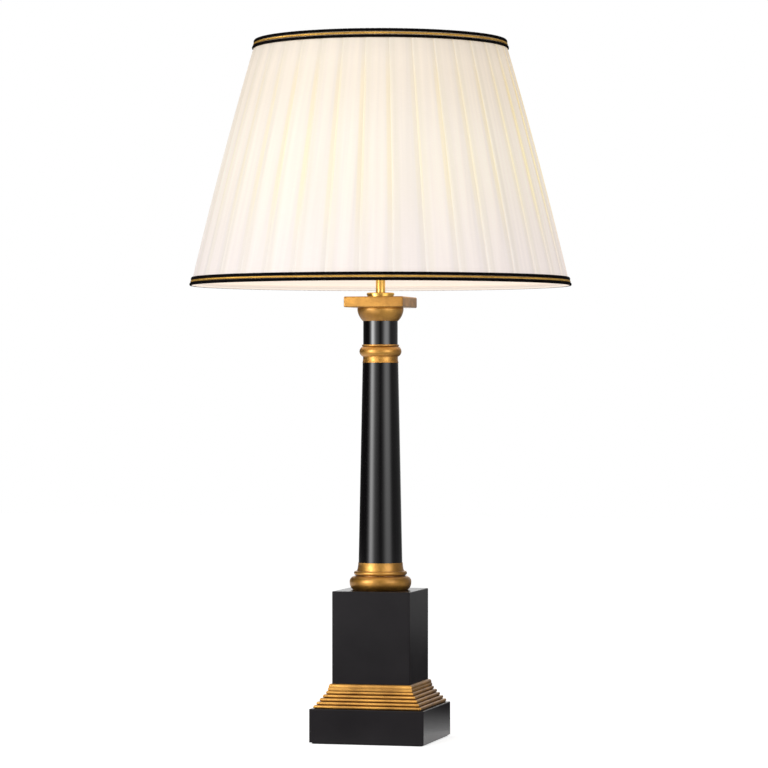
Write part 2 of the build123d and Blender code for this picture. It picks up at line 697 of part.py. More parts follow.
def make_contact_spring():
    leaf_z = WELL_Z + CONTACT_RISE
    outline = Polyline(
        (-CONTACT_BACK, WELL_Z),
        (CONTACT_FRONT, WELL_Z),
        (CONTACT_FRONT, WELL_Z + CONTACT_T),
        (-CONTACT_BACK + CONTACT_T, WELL_Z + CONTACT_T),
        (-CONTACT_BACK + CONTACT_T, leaf_z - CONTACT_T),
        (-CONTACT_BACK + CONTACT_LEAF, leaf_z - CONTACT_T),
        (-CONTACT_BACK + CONTACT_LEAF, leaf_z),
        (-CONTACT_BACK, leaf_z),
        close=True,
    )
    return extrude(Plane.YZ * make_face(outline), CONTACT_W / 2, both=True)


def make_screw_shell():
    body = tube(SHELL_OUT_R, SHELL_IN_R, WELL_Z, INSERT_TOP)
    tab_l = SHELL_IN_R + SHELL_WALL / 2 - SHELL_TAB_INNER
    tab = block(SHELL_TAB_W, tab_l, WELL_Z, WELL_Z + SHELL_WALL)
    return body + Pos(0, -SHELL_TAB_INNER - tab_l / 2, 0) * tab


def make_lampholder_skirt():
    stop_z = HOLDER_CAP_TOP + SKIRT_STOP_GAP
    lip_z = INSERT_TOP + SKIRT_STOP_GAP
    lip_r = SKIRT_IN_R - SKIRT_LIP
    return turned(
        (SKIRT_LAP_R, SKIRT_Z),
        (SKIRT_LAP_R + SKIRT_LAP_WALL, SKIRT_Z),
        (SKIRT_LAP_R + SKIRT_LAP_WALL, HOLDER_CAP_TOP),
        (SKIRT_FLANGE_R, HOLDER_CAP_TOP),
        (SKIRT_FLANGE_R, FLANGE_TOP),
        (SHADE_THREAD_R, FLANGE_TOP),
        (SHADE_THREAD_R, HOLDER_TOP - SKIRT_RIM_R),
        (SHADE_THREAD_R - SKIRT_RIM_R, HOLDER_TOP, SKIRT_RIM_R * QUARTER_BULGE),
        (lip_r, HOLDER_TOP),
        (lip_r, lip_z),
        (SKIRT_IN_R, lip_z),
        (SKIRT_IN_R, stop_z),
        (SKIRT_LAP_R, stop_z),
    )


def make_shade_ring():
    low = PLATE_TOP + RING_RUN_GAP
    body = tube(SHADE_RING_R, SHADE_THREAD_R + SHADE_RING_FIT, low, low + SHADE_RING_H)
    rims = body.edges().filter_by(GeomType.CIRCLE).sort_by(SortBy.RADIUS)[-2:]
    body = fillet(rims, SHADE_RING_EDGE_R)
    notch = disc(SHADE_RING_NOTCH_R, low - CUT_PAST, low + SHADE_RING_H + CUT_PAST)
    notch = Pos(SHADE_RING_R + SHADE_RING_NOTCH_OUT, 0, 0) * notch
    return body - around(SHADE_RING_NOTCHES, 0, notch)


# ---- Lamp bulb ------------------------------------------------------------------------------------
def make_bulb_tip():
    top = BULB_TIP_Z + BULB_TIP_H
    return turned(
        (0, BULB_TIP_Z),
        (BULB_TIP_R - BULB_TIP_TAPER, BULB_TIP_Z),
        (BULB_TIP_R, top, BULB_TIP_BULGE),
        (0, top),
    )


def make_bulb_insulator():
    low = BULB_TIP_Z + BULB_TIP_H
    return turned((0, low), (BULB_TIP_R, low), (BULB_INSULATOR_R, BULB_SHELL_Z), (0, BULB_SHELL_Z))


def make_bulb_cap():
    outer = BULB_CAP_D / 2
    inner = outer - BULB_SHELL_WALL
    shoulder = BULB_SHELL_Z + outer - BULB_INSULATOR_R
    return turned(
        (BULB_INSULATOR_R - BULB_SHELL_LAP, BULB_SHELL_Z),
        (BULB_INSULATOR_R, BULB_SHELL_Z),
        (outer, shoulder, BULB_SHELL_BULGE),
        (outer, BULB_NECK_Z),
        (inner, BULB_NECK_Z),
        (inner, shoulder),
        (BULB_INSULATOR_R - BULB_SHELL_LAP, BULB_SHELL_Z + BULB_SHELL_WALL),
    )


def make_bulb_housing():
    plug_r = BULB_CAP_D / 2 - BULB_SHELL_WALL - CAP_FIT
    bend_z = BULB_NECK_Z + BULB_NECK_H
    shoulder_z = bend_z + BULB_SHOULDER_UP
    seat_r = LED_BOARD_R + LED_BOARD_FIT
    return turned(
        (BULB_PLUG_R, BULB_NECK_Z - BULB_PLUG_L),
        (plug_r, BULB_NECK_Z - BULB_PLUG_L),
        (plug_r, BULB_NECK_Z),
        (BULB_NECK_R, BULB_NECK_Z),
        (BULB_NECK_R, bend_z),
        (BULB_SHOULDER_R, shoulder_z, -BULB_NECK_HOLLOW),
        (BULB_RIM_R, BULB_RIM_Z, BULB_SHOULDER_BULGE),
        (seat_r, BULB_RIM_Z),
        (seat_r, LED_BOARD_Z),
        (seat_r - LED_LEDGE, LED_BOARD_Z),
        (BULB_SHOULDER_IN_R, shoulder_z),
        (BULB_PLUG_R, bend_z),
    )


def make_driver_board():
    return block(DRIVER_W, DRIVER_T, BULB_TIP_Z + DRIVER_TAIL, LED_BOARD_Z)


def make_led_board():
    return disc(LED_BOARD_R, LED_BOARD_Z, LED_BOARD_Z + LED_BOARD_T)


def make_led_chips():
    top = LED_BOARD_Z + LED_BOARD_T
    chip = Pos(LED_AT_R, 0, 0) * block(LED_SIDE, LED_SIDE, top, top + LED_T)
    return group(around(LED_COUNT, 0, chip))


def make_bulb_diffuser():
    outer_r = BULB_D / 2
    inner_r = outer_r - DIFFUSER_WALL
    shell = Pos(0, 0, BULB_CENTRE_Z) * (Sphere(outer_r) - Sphere(inner_r))
    return shell - block(2 * BULB_D, 2 * BULB_D, BULB_CENTRE_Z - BULB_D, BULB_RIM_Z)


# ---- Shade carrier --------------------------------------------------------------------------------
def make_carrier_plate():
    return tube(CARRIER_PLATE_R, SHADE_THREAD_R + CARRIER_PLATE_GAP, FLANGE_TOP, PLATE_TOP)


def make_carrier_arms():
    bend_z = PLATE_TOP + CARRIER_ARM_FOOT
    points = [
        (CARRIER_ARM_R, PLATE_TOP),
        (CARRIER_ARM_R, bend_z),
        (CARRIER_RING_MID_R, bend_z + CARRIER_ARM_FLARE),
        (CARRIER_RING_MID_R, SEAT_Z - CARRIER_RING_T),
    ]
    arm = wire(points, CARRIER_BEND_R, CARRIER_WIRE_D)
    return group(around(CARRIER_ARM_COUNT, 0, arm))


def make_carrier_ring():
    inner = CARRIER_RING_OUT_R - CARRIER_RING_W
    return tube(CARRIER_RING_OUT_R, inner, SEAT_Z - CARRIER_RING_T, SEAT_Z)


# ---- Shade ----------------------------------------------------------------------------------------
def edge_r(z):
    """Radius of the shade's outermost cone at a height."""
    share = (z - SHADE_BOTTOM_Z) / SHADE_H
    return SHADE_BOTTOM_R + share * (SHADE_TOP_R - SHADE_BOTTOM_R)


def cone_shell(outer_off, inner_off, low, high):
    """Conical wall between two offsets from the shade's outermost cone."""
    return turned(
        (edge_r(low) - inner_off, low),
        (edge_r(low) - outer_off, low),
        (edge_r(high) - outer_off, high),
        (edge_r(high) - inner_off, high),
    )


def make_gimbal_ring():
    inner = CARRIER_RING_OUT_R - CARRIER_RING_W - GIMBAL_OVERHANG
    top = SEAT_Z + GIMBAL_PLATE_T
    return turned(
        (inner, SEAT_Z),
        (GIMBAL_LIP_IN_R, SEAT_Z),
        (GIMBAL_LIP_IN_R, SEAT_Z - GIMBAL_LIP_DROP),
        (GIMBAL_R, SEAT_Z - GIMBAL_LIP_DROP),
        (GIMBAL_R, top - GIMBAL_EDGE_R),
        (GIMBAL_R - GIMBAL_EDGE_R, top, GIMBAL_EDGE_R * QUARTER_BULGE),
        (inner, top),
    )


def wire_ring(z):
    """Wire ring inside the lining at a height."""
    return Pos(0, 0, z) * Torus(edge_r(z) - WIRE_OFF, WIRE_D / 2)


def make_shade_top_wire():
    return wire_ring(SHADE_TOP_Z - WIRE_IN)


def make_shade_bottom_wire():
    return wire_ring(SHADE_BOTTOM_Z + WIRE_IN)


def make_gimbal_arms():
    wire_z = SHADE_TOP_Z - WIRE_IN
    start_r = GIMBAL_R - GIMBAL_LIP_T / 2
    start_z = SEAT_Z - GIMBAL_LIP_DROP / 2 + GIMBAL_ARM_UP
    points = [
        (start_r, start_z),
        (start_r + GIMBAL_ARM_OUT, start_z),
        (edge_r(wire_z) - WIRE_OFF, wire_z),
    ]
    arm = wire(points, GIMBAL_BEND_R, GIMBAL_WIRE_D)
    arm = arm - make_gimbal_ring() - make_shade_top_wire()
    return group(around(GIMBAL_ARM_COUNT, GIMBAL_TURN, arm))


def make_shade_lining():
    return cone_shell(LINING_OUT, LINING_IN, SHADE_BOTTOM_Z + CLOTH_TURN, SHADE_TOP_Z - CLOTH_TURN)


def pleat_outline(z, crest_off, valley_off):
    """Saw-toothed outline between two offsets from the shade's outermost cone: each pleat steps up to
    its crest at its fold and runs down to the next."""
    pitch = 360 / PLEAT_COUNT
    points = []
    for index in range(PLEAT_COUNT):
        for span in range(PLEAT_SPANS + 1):
            share = span / PLEAT_SPANS
            turn = PLEAT_PHASE + pitch * (index + PLEAT_STEP + share * (1 - PLEAT_STEP))
            radius = edge_r(z) - crest_off - share * (valley_off - crest_off)
            angle = math.radians(turn)
            points.append((radius * math.cos(angle), radius * math.sin(angle), z))
    return Face(Wire.make_polygon(points, close=True))


def pleated_block(crest_off, valley_off):
    """Solid inside a saw-toothed outline, over the whole height of the cloth."""
    heights = (SHADE_BOTTOM_Z + CLOTH_TURN, SHADE_TOP_Z - CLOTH_TURN)
    return loft([pleat_outline(z, crest_off, valley_off) for z in heights], ruled=True)


def make_pleated_cover():
    return pleated_block(BRAID_PROUD, BRAID_PROUD + PLEAT_RISE) - pleated_block(CLOTH_IN, CLOTH_IN)


def braid_rib(index, edge_z, rise):
    """One rib of a braid, counted up from this height: flat on the folds' crests, bevelled outside."""
    low = edge_z + BRAID_RIB_H * index + RIB_GAP / 2
    high = low + BRAID_RIB_H - RIB_GAP
    back = BRAID_PROUD - BRAID_BACK / 2
    outline = (
        (high, back),
        (high, back - RIB_SIDE),
        (high - RIB_BEVEL, back - rise),
        (low + RIB_BEVEL, back - rise),
        (low, back - RIB_SIDE),
    )
    return turned((edge_r(low) - back, low), *[(edge_r(z) - offset, z) for z, offset in outline])


def braid(edge_z, is_gold):
    """The gold rib of a braid, or the black ribs either side of it."""
    middle = RIB_COUNT // 2
    if is_gold:
        return braid_rib(middle, edge_z, GOLD_RISE)
    return group([braid_rib(index, edge_z, BLACK_RISE) for index in range(RIB_COUNT) if index != middle])


def make_top_trim_black():
    return braid(SHADE_TOP_Z - RIB_COUNT * BRAID_RIB_H, False)


def make_top_trim_gold():
    return braid(SHADE_TOP_Z - RIB_COUNT * BRAID_RIB_H, True)


def make_bottom_trim_black():
    return braid(SHADE_BOTTOM_Z, False)


def make_bottom_trim_gold():
    return braid(SHADE_BOTTOM_Z, True)


# ---- Nodes ----------------------------------------------------------------------------------------
PIECES = [
    make_felt_pad,
    make_base_cover,
    make_base_cover_screws,
    make_plinth,
    make_counterweight,
    make_frame_screws,
    make_cord_inlet_bush,
    make_stepped_moulding,
    make_pedestal,
    make_column_base,
    make_column_shaft,
    make_astragal_ring,
    make_column_neck,
    make_echinus,
    make_abacus,
    make_threaded_rod,
    make_rod_washer,
    make_rod_lock_washer,
    make_rod_nut,
    make_top_ring_nut,
    make_lampholder_cap,
    make_cap_grub_screw,
    make_lampholder_insert,
    make_terminal_blocks,
    make_terminal_screws,
    make_contact_rivets,
    make_contact_spring,
    make_screw_shell,
    make_lampholder_skirt,
    make_shade_ring,
    make_bulb_tip,
    make_bulb_insulator,
    make_bulb_cap,
    make_bulb_housing,
    make_driver_board,
    make_led_board,
    make_led_chips,
    make_bulb_diffuser,
    make_carrier_plate,
    make_carrier_arms,
    make_carrier_ring,
    make_gimbal_ring,
    make_gimbal_arms,
    make_shade_top_wire,
    make_shade_bottom_wire,
    make_shade_lining,
    make_pleated_cover,
    make_top_trim_black,
    make_top_trim_gold,
    make_bottom_trim_black,
    make_bottom_trim_gold,
]


def main():
    os.makedirs("parts", exist_ok=True)
    for piece in PIECES:
        node = piece.__name__.removeprefix("make_")
        export_step(piece(), os.path.join("parts", node + ".step"))


main()
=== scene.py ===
"""The looks of a column table lamp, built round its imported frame.

Metres, +Z up, the front faces -Y. The hard pieces are the frame's own; the cloth, the braids and the felt
are modelled here.
"""

import bisect
import logging
import math
import random
from dataclasses import dataclass
from enum import Enum
from typing import Iterable, Sequence

import bpy
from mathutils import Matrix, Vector


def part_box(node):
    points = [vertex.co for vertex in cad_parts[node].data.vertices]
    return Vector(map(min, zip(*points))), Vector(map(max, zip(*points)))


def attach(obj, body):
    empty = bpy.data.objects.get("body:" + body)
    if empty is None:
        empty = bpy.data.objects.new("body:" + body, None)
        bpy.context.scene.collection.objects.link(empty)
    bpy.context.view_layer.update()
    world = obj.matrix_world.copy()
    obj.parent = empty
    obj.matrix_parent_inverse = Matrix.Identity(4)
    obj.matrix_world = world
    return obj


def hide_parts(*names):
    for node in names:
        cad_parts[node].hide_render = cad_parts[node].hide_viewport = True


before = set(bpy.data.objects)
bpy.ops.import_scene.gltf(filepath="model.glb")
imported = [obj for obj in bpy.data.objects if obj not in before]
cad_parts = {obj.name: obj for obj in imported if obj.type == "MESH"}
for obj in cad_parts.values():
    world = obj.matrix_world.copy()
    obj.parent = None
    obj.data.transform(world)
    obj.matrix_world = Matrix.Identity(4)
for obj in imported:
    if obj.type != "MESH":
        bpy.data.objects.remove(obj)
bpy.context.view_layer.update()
MM = 0.001
LOG = logging.getLogger("column_lamp")

# A Mix node's sockets when it mixes colours.
MIX_SHARE, MIX_FIRST, MIX_SECOND, MIX_RESULT = 0, 6, 7, 2
HOLLOW_SAMPLES = 8
WHITE = (1.0, 1.0, 1.0)
BLACK = (0.0, 0.0, 0.0)

Socket = bpy.types.NodeSocket
Material = bpy.types.Material
Piece = bpy.types.Object
Colour = tuple[float, float, float]
Point = tuple[float, float, float]
Stop = tuple[float, Colour]


# ---- Node materials
class Paint:
    """A node material under construction: one Principled shader and what feeds it."""

    def __init__(self, name: str) -> None:
        """Starts a material.

        Args:
            name: the material's name.
        """
        self.material = bpy.data.materials.new(name)
        self.material.use_nodes = True
        self.tree = self.material.node_tree
        self.tree.nodes.clear()
        self.shader = self.node("BsdfPrincipled")
        self.node("OutputMaterial", Surface=self.shader.outputs["BSDF"])

    def join(self, source: Socket, target: Socket) -> None:
        """Links two sockets."""
        self.tree.links.new(source, target)

    def give(self, target: Socket, value: object) -> None:
        """Feeds a socket.

        Args:
            target: the input socket.
            value: another socket, a colour or a number.
        """
        if isinstance(value, Socket):
            self.join(value, target)
        elif isinstance(value, tuple) and target.type == "RGBA":
            target.default_value = (*value, 1.0)
        else:
            target.default_value = value

    def node(self, kind: str, **values: object) -> bpy.types.Node:
        """Adds a node.

        Args:
            kind: its type, without the words ShaderNode.
            **values: what its inputs get, by name, an underscore for each space.

        Returns:
            The node.
        """
        node = self.tree.nodes.new("ShaderNode" + kind)
        for name, value in values.items():
            self.give(node.inputs[name.replace("_", " ")], value)
        return node

    def surface(self, **values: object) -> None:
        """Sets the shader's sockets by name, an underscore for each space.

        Args:
            **values: socket values, such as base_color or coat_weight.
        """
        sockets = {s.name.lower().replace(" ", "_"): s for s in self.shader.inputs}
        for name, value in values.items():
            self.give(sockets[name], value)

    def place(self, stretch: Sequence[float] = (1, 1, 1), uv: bool = False) -> Socket:
        """Object coordinates, or the UV map's, with the pattern repeated by stretch along each axis."""
        source = self.node("TexCoord").outputs["UV" if uv else "Object"]
        return self.node("Mapping", Vector=source, Scale=stretch).outputs["Vector"]

    def attribute(self, name: str) -> Socket:
        """A number kept on the piece's points.

        Args:
            name: the attribute's name.

        Returns:
            Its value.
        """
        node = self.node("Attribute")
        node.attribute_name = name
        return node.outputs["Fac"]

    def noise(
        self, scale: float, detail: float = 4.0, stretch: Sequence[float] = (1, 1, 1), uv: bool = False
    ) -> Socket:
        """Soft random pattern round 0.5, with about scale features in a metre and detail finer layers."""
        place = self.place(stretch, uv)
        return self.node("TexNoise", Scale=scale, Detail=detail, Vector=place).outputs["Fac"]

    def bands(self, scale: float, direction: str, uv: bool = False) -> Socket:
        """Even bands along one axis, for the weave's threads.

        Args:
            scale: how close the bands are.
            direction: the axis that they follow each other along.
            uv: True to lay them on the UV map.

        Returns:
            A value from 0 to 1 across each band.
        """
        node = self.node("TexWave", Scale=scale, Vector=self.place(uv=uv))
        node.bands_direction = direction
        return node.outputs["Fac"]

    def hollows(self, reach: float) -> Socket:
        """How open each place is.

        Args:
            reach: how near, in metres, the same piece's other faces count.

        Returns:
            1 in the open, less in a hollow.
        """
        node = self.node("AmbientOcclusion", Distance=reach)
        node.only_local = True
        node.samples = HOLLOW_SAMPLES
        return node.outputs["AO"]

    def ramp(self, value: Socket, stops: Iterable[Stop], soft: bool = False) -> Socket:
        """A colour for each value.

        Args:
            value: the number that picks the colour.
            stops: places from 0 to 1, each with its colour.
            soft: True for eased steps between the colours.

        Returns:
            The colour.
        """
        node = self.node("ValToRGB", Fac=value)
        if soft:
            node.color_ramp.interpolation = "EASE"
        marks = node.color_ramp.elements
        wanted = list(stops)
        while len(marks) < len(wanted):
            marks.new(0.5)
        for mark, (at, colour) in zip(marks, wanted):
            mark.position = at
            mark.color = (*colour, 1.0)
        return node.outputs["Color"]

    def spread(
        self, value: Socket, low: float, high: float, start: float = 0.3, end: float = 0.7
    ) -> Socket:
        """Maps a pattern's values, from start to end, to values from low to high."""
        node = self.node("MapRange", Value=value, From_Min=start, From_Max=end, To_Min=low, To_Max=high)
        return node.outputs["Result"]

    def maths(self, kind: str, first: object, second: object = 0.0) -> Socket:
        """One step of arithmetic.

        Args:
            kind: the Math node's operation.
            first: a socket or a number.
            second: a socket or a number.

        Returns:
            The result.
        """
        node = self.node("Math")
        node.operation = kind
        self.give(node.inputs[0], first)
        self.give(node.inputs[1], second)
        return node.outputs[0]

    def mix(self, share: object, first: object, second: object, kind: str = "MIX") -> Socket:
        """Mixes two colours.

        Args:
            share: how much of the second, a socket or a number.
            first: a socket or a colour.
            second: a socket or a colour.
            kind: the blend type.

        Returns:
            The mixed colour.
        """
        node = self.node("Mix")
        node.data_type = "RGBA"
        node.blend_type = kind
        self.give(node.inputs[MIX_SHARE], share)
        self.give(node.inputs[MIX_FIRST], first)
        self.give(node.inputs[MIX_SECOND], second)
        return node.outputs[MIX_RESULT]

    def bump(self, height: Socket, depth: float, strength: float = 1.0) -> None:
        """Roughens the surface.

        Args:
            height: the pattern's height.
            depth: height of a full step in metres.
            strength: share of the effect.
        """
        node = self.node("Bump", Strength=strength, Distance=depth, Height=height)
        before = self.shader.inputs["Normal"].links
        if before:
            self.join(before[0].from_socket, node.inputs["Normal"])
        self.join(node.outputs["Normal"], self.shader.inputs["Normal"])


# ---- Finishes
class Finish:
    """What a piece is made of or coated with: each kind has a name and lays itself on a new material."""

    name: str

    def lay(self, paint: Paint) -> None:
        """Lays the finish on a new material, in each kind's own way."""

    def material(self) -> Material:
        """Makes the finish's material.

        Returns:
            The material.
        """
        paint = Paint(self.name)
        self.lay(paint)
        return paint.material


@dataclass(frozen=True)
class Lacquer(Finish):
    """Black lacquer, brushed up and down and rubbed down to its gloss."""

    name: str
    roughness: tuple[float, float]
    gloss: float
    brush_marks: float
    deep: Colour = (0.0095, 0.0082, 0.0095)
    worn: Colour = (0.0165, 0.0145, 0.0163)
    upright: tuple[float, ...] = (9, 9, 0.35)
    brush_depth: float = 0.02 * MM
    skin_depth: float = 0.006 * MM

    def lay(self, paint: Paint) -> None:
        """Lays the finish.

        Args:
            paint: the new material.
        """
        strokes = paint.noise(60, 5, self.upright)
        cloud = paint.noise(14, 3)
        tint = paint.mix(paint.spread(cloud, 0, 1), self.deep, self.worn)
        rough = paint.spread(strokes, *self.roughness)
        paint.surface(base_color=tint, roughness=rough, specular_ior_level=self.gloss)
        paint.bump(strokes, self.brush_depth, self.brush_marks)
        paint.bump(paint.noise(420, 2), self.skin_depth, 0.5)


@dataclass(frozen=True)
class Gilding(Finish):
    """Antique gold leaf, rubbed thin, with painted shade in its hollows in the colour of the bole."""

    name: str = "antique_gilding"
    bright: Colour = (0.62, 0.315, 0.062)
    dull: Colour = (0.35, 0.165, 0.029)
    bole_shade: Colour = (0.13, 0.055, 0.013)
    groove_reach: float = 1.8 * MM
    roughness: tuple[float, float] = (0.34, 0.48)
    wave_depth: float = 0.6 * MM
    speckle_depth: float = 0.06 * MM

    def lay(self, paint: Paint) -> None:
        """Lays the finish.

        Args:
            paint: the new material.
        """
        cloud = paint.noise(38, 6)
        speckle = paint.noise(310, 5)
        leaf = paint.mix(paint.spread(cloud, 0, 1, 0.36, 0.64), self.dull, self.bright)
        leaf = paint.mix(paint.spread(speckle, 0.0, 0.4, 0.55, 0.72), leaf, self.dull)
        # Painted shade: the hollows that ambient occlusion finds are darkened towards the bole colour, in
        # uneven patches.
        hollow_shade = paint.spread(paint.hollows(self.groove_reach), 1, 0, 0.4, 0.85)
        hollow_shade = paint.maths("MULTIPLY", hollow_shade, paint.spread(cloud, 0.8, 1))
        paint.surface(
            base_color=paint.mix(hollow_shade, leaf, self.bole_shade),
            metallic=0.9,
            roughness=paint.spread(speckle, *self.roughness),
            specular_ior_level=0.4,
            coat_weight=0.4,
            coat_roughness=0.22,
        )
        paint.bump(cloud, self.wave_depth, 0.5)
        paint.bump(speckle, self.speckle_depth, 0.7)


class MetalKind(Enum):
    """Plain metals of the fittings: colour, roughness and how strong the turning marks are."""

    BRASS = ((0.85, 0.52, 0.13), 0.18, 0.25)
    CONTACT_BRASS = ((0.86, 0.62, 0.27), 0.3, 0.15)
    NICKEL = ((0.72, 0.69, 0.64), 0.24, 0.15)
    STEEL = ((0.56, 0.57, 0.58), 0.34, 0.3)
    SOLDER = ((0.62, 0.62, 0.63), 0.42, 0.0)
    CARRIER = ((0.9, 0.66, 0.28), 0.26, 0.1)


@dataclass(frozen=True)
class Metal(Finish):
    """Turned or drawn metal of one kind."""

    kind: MetalKind
    darkening: float = 0.8
    smoother: float = 0.05
    rougher: float = 0.1
    along: tuple[float, ...] = (0.4, 0.4, 22)
    mark_depth: float = 0.03 * MM

    @property
    def name(self) -> str:
        """The material's name."""
        return "metal_" + self.kind.name.lower()

    def lay(self, paint: Paint) -> None:
        """Lays the finish.

        Args:
            paint: the new material.
        """
        colour, roughness, marks = self.kind.value
        smudge = paint.noise(60, 5)
        turning = paint.noise(90, 3, self.along)
        darker = tuple(self.darkening * part for part in colour)
        paint.surface(
            base_color=paint.mix(paint.spread(smudge, 0, 1), colour, darker),
            metallic=1.0,
            roughness=paint.spread(smudge, roughness - self.smoother, roughness + self.rougher),
        )
        paint.bump(turning, self.mark_depth, marks)


@dataclass(frozen=True)
class CastIron(Finish):
    """Painted grey iron with a sand-cast skin."""

    name: str = "cast_iron"
    paint_colour: Colour = (0.035, 0.034, 0.033)
    bare: Colour = (0.09, 0.085, 0.08)
    sand_depth: float = 0.3 * MM

    def lay(self, paint: Paint) -> None:
        """Lays the finish.

        Args:
            paint: the new material.
        """
        skin = paint.noise(240, 6)
        colour = paint.ramp(skin, [(0.3, self.paint_colour), (0.7, self.bare)])
        paint.surface(base_color=colour, metallic=0.6, roughness=paint.spread(skin, 0.5, 0.75))
        paint.bump(skin, self.sand_depth, 0.7)


@dataclass(frozen=True)
class Grain(Finish):
    """Even moulded, fired or painted material with a faint skin."""

    name: str
    colour: Colour
    shade: Colour
    roughness: float
    grain: float = 300.0
    depth: float = 0.02 * MM
    coat: float = 0.0
    smoother: float = 0.05
    rougher: float = 0.07

    def lay(self, paint: Paint) -> None:
        """Lays the finish.

        Args:
            paint: the new material.
        """
        cloud = paint.noise(30, 4)
        skin = paint.noise(self.grain, 3)
        paint.surface(
            base_color=paint.mix(paint.spread(cloud, 0, 1), self.colour, self.shade),
            roughness=paint.spread(skin, self.roughness - self.smoother, self.roughness + self.rougher),
            coat_weight=self.coat,
            coat_roughness=0.08,
        )
        paint.bump(skin, self.depth)


@dataclass(frozen=True)
class Glow(Finish):
    """Something that shines: the bulb's opal cover and its chips."""

    name: str
    colour: Colour
    light: Colour
    strength: float
    depth: float = 0.01 * MM

    def lay(self, paint: Paint) -> None:
        """Lays the finish.

        Args:
            paint: the new material.
        """
        cloud = paint.noise(40, 3)
        paint.surface(
            base_color=paint.mix(paint.spread(cloud, 0, 0.25), self.colour, self.light),
            roughness=paint.spread(cloud, 0.28, 0.36),
            emission_color=self.light,
            emission_strength=self.strength,
        )
        paint.bump(paint.noise(500, 2), self.depth)


@dataclass(frozen=True)
class LitLining(Finish):
    """Laminated lining, with the bulb's light on it painted as a glow that it gives off."""

    name: str = "laminated_lining"
    colour: Colour = (0.56, 0.53, 0.49)
    grain: Colour = (0.52, 0.48, 0.43)
    light: Colour = (1.0, 0.85, 0.74)
    strength: float = 0.6
    fibre_depth: float = 0.03 * MM

    def lay(self, paint: Paint) -> None:
        """Lays the finish.

        Args:
            paint: the new material.
        """
        fibre = paint.noise(700, 4)
        cloud = paint.noise(12, 3)
        glow = paint.mix(paint.spread(cloud, 0, 0.12), self.light, self.grain)
        paint.surface(
            base_color=paint.mix(paint.spread(fibre, 0, 0.5), self.colour, self.grain),
            roughness=paint.spread(fibre, 0.55, 0.7),
            emission_color=glow,
            emission_strength=self.strength,
        )
        paint.bump(fibre, self.fibre_depth)


@dataclass(frozen=True)
class PleatedSilk(Finish):
    """Cream pleated silk, with the lamp's light behind it painted on as a glow that the cloth gives off.

    Less of the painted light comes through where one layer lies over another. The painted glow is warm along
    the tuck beside each fold, where the bare cloth is nearest to the bulb, and a cool band before each tuck
    is painted shade.
    """

    name: str = "pleated_silk"
    cloth: Colour = (0.5, 0.49, 0.475)
    slub: Colour = (0.47, 0.455, 0.43)
    strength: float = 0.58
    # Painted light that the cloth gives off: through one layer, a painted shade band before each tuck, the
    # dimmer glow through three layers, and warm or plain light on the folds and tucks.
    one_layer: Colour = (0.975, 0.818, 0.685)
    cool_painted_shade: Colour = (0.885, 0.745, 0.635)
    three_layers: Colour = (0.88, 0.74, 0.57)
    warm_fold: Colour = (0.98, 0.79, 0.38)
    plain_fold: Colour = (0.93, 0.8, 0.64)
    warm_tuck: Colour = (0.96, 0.74, 0.33)
    plain_tuck: Colour = (0.82, 0.69, 0.55)
    # Painted light by height: where the tucks are warm, and the glow's tint and brightness up the shade,
    # dimmest at the top.
    warm_rise: tuple[Stop, ...] = ((0.08, BLACK), (0.45, WHITE), (0.76, WHITE), (0.95, BLACK))
    bulb_near: tuple[Stop, ...] = (
        (0.0, (0.9, 0.9, 0.98)), (0.5, (0.97, 0.98, 0.9)), (0.86, (0.88, 0.83, 0.68)),
        (1.0, (0.72, 0.66, 0.51)),
    )
    least_warm: float = 0.2
    dim_pleat: Colour = (0.95, 0.95, 0.97)
    dim_streak: Colour = (0.87, 0.86, 0.88)
    threads: float = 700
    weave_depth: float = 0.01 * MM
    slub_depth: float = 0.03 * MM

    def glow(self, paint: Paint) -> Socket:
        """The painted light that comes through, given off as emission.

        Args:
            paint: the material under construction.

        Returns:
            Its colour.
        """
        across = paint.attribute("across")
        rise = paint.attribute("rise")
        chance = paint.attribute("chance")

        def pleat(tuck: Colour, fold: Colour) -> Socket:
            """The painted light across a pleat.

            Args:
                tuck: colour in its tuck.
                fold: colour on its fold.

            Returns:
                The colour at each place.
            """
            return paint.ramp(across, [
                (0.0, fold), (0.03, fold), (0.08, self.three_layers), (0.15, self.three_layers),
                (0.33, self.one_layer), (0.64, self.one_layer), (0.79, self.cool_painted_shade),
                (0.88, tuck), (0.96, tuck), (1.0, fold),
            ], soft=True)

        by_height = paint.ramp(rise, self.warm_rise, soft=True)
        warm = paint.maths("MULTIPLY", by_height, paint.spread(chance, self.least_warm, 1.0, 0, 1))
        lit = paint.mix(warm, pleat(self.plain_tuck, self.plain_fold), pleat(self.warm_tuck, self.warm_fold))
        streaks = paint.noise(150, 3, (1, 0.03, 1), uv=True)
        for layer in (
            paint.ramp(rise, self.bulb_near, soft=True),
            paint.ramp(chance, [(0.0, self.dim_pleat), (1.0, WHITE)]),
            paint.ramp(streaks, [(0.3, self.dim_streak), (0.62, WHITE)]),
        ):
            lit = paint.mix(1.0, lit, layer, "MULTIPLY")
        return lit

    def lay(self, paint: Paint) -> None:
        """Lays the finish.

        Args:
            paint: the new material.
        """
        slub = paint.noise(130, 4, (1, 14, 1), uv=True)
        warp = paint.bands(self.threads, "X", uv=True)
        weft = paint.bands(self.threads, "Y", uv=True)
        weave = paint.maths("ADD", warp, weft)
        paint.surface(
            base_color=paint.mix(paint.spread(slub, 0, 0.6), self.cloth, self.slub),
            roughness=paint.spread(slub, 0.5, 0.66),
            specular_ior_level=0.3,
            sheen_weight=0.15,
            sheen_roughness=0.4,
            emission_color=self.glow(paint),
            emission_strength=self.strength,
        )
        paint.bump(weave, self.weave_depth, 0.3)
        paint.bump(slub, self.slub_depth, 0.4)


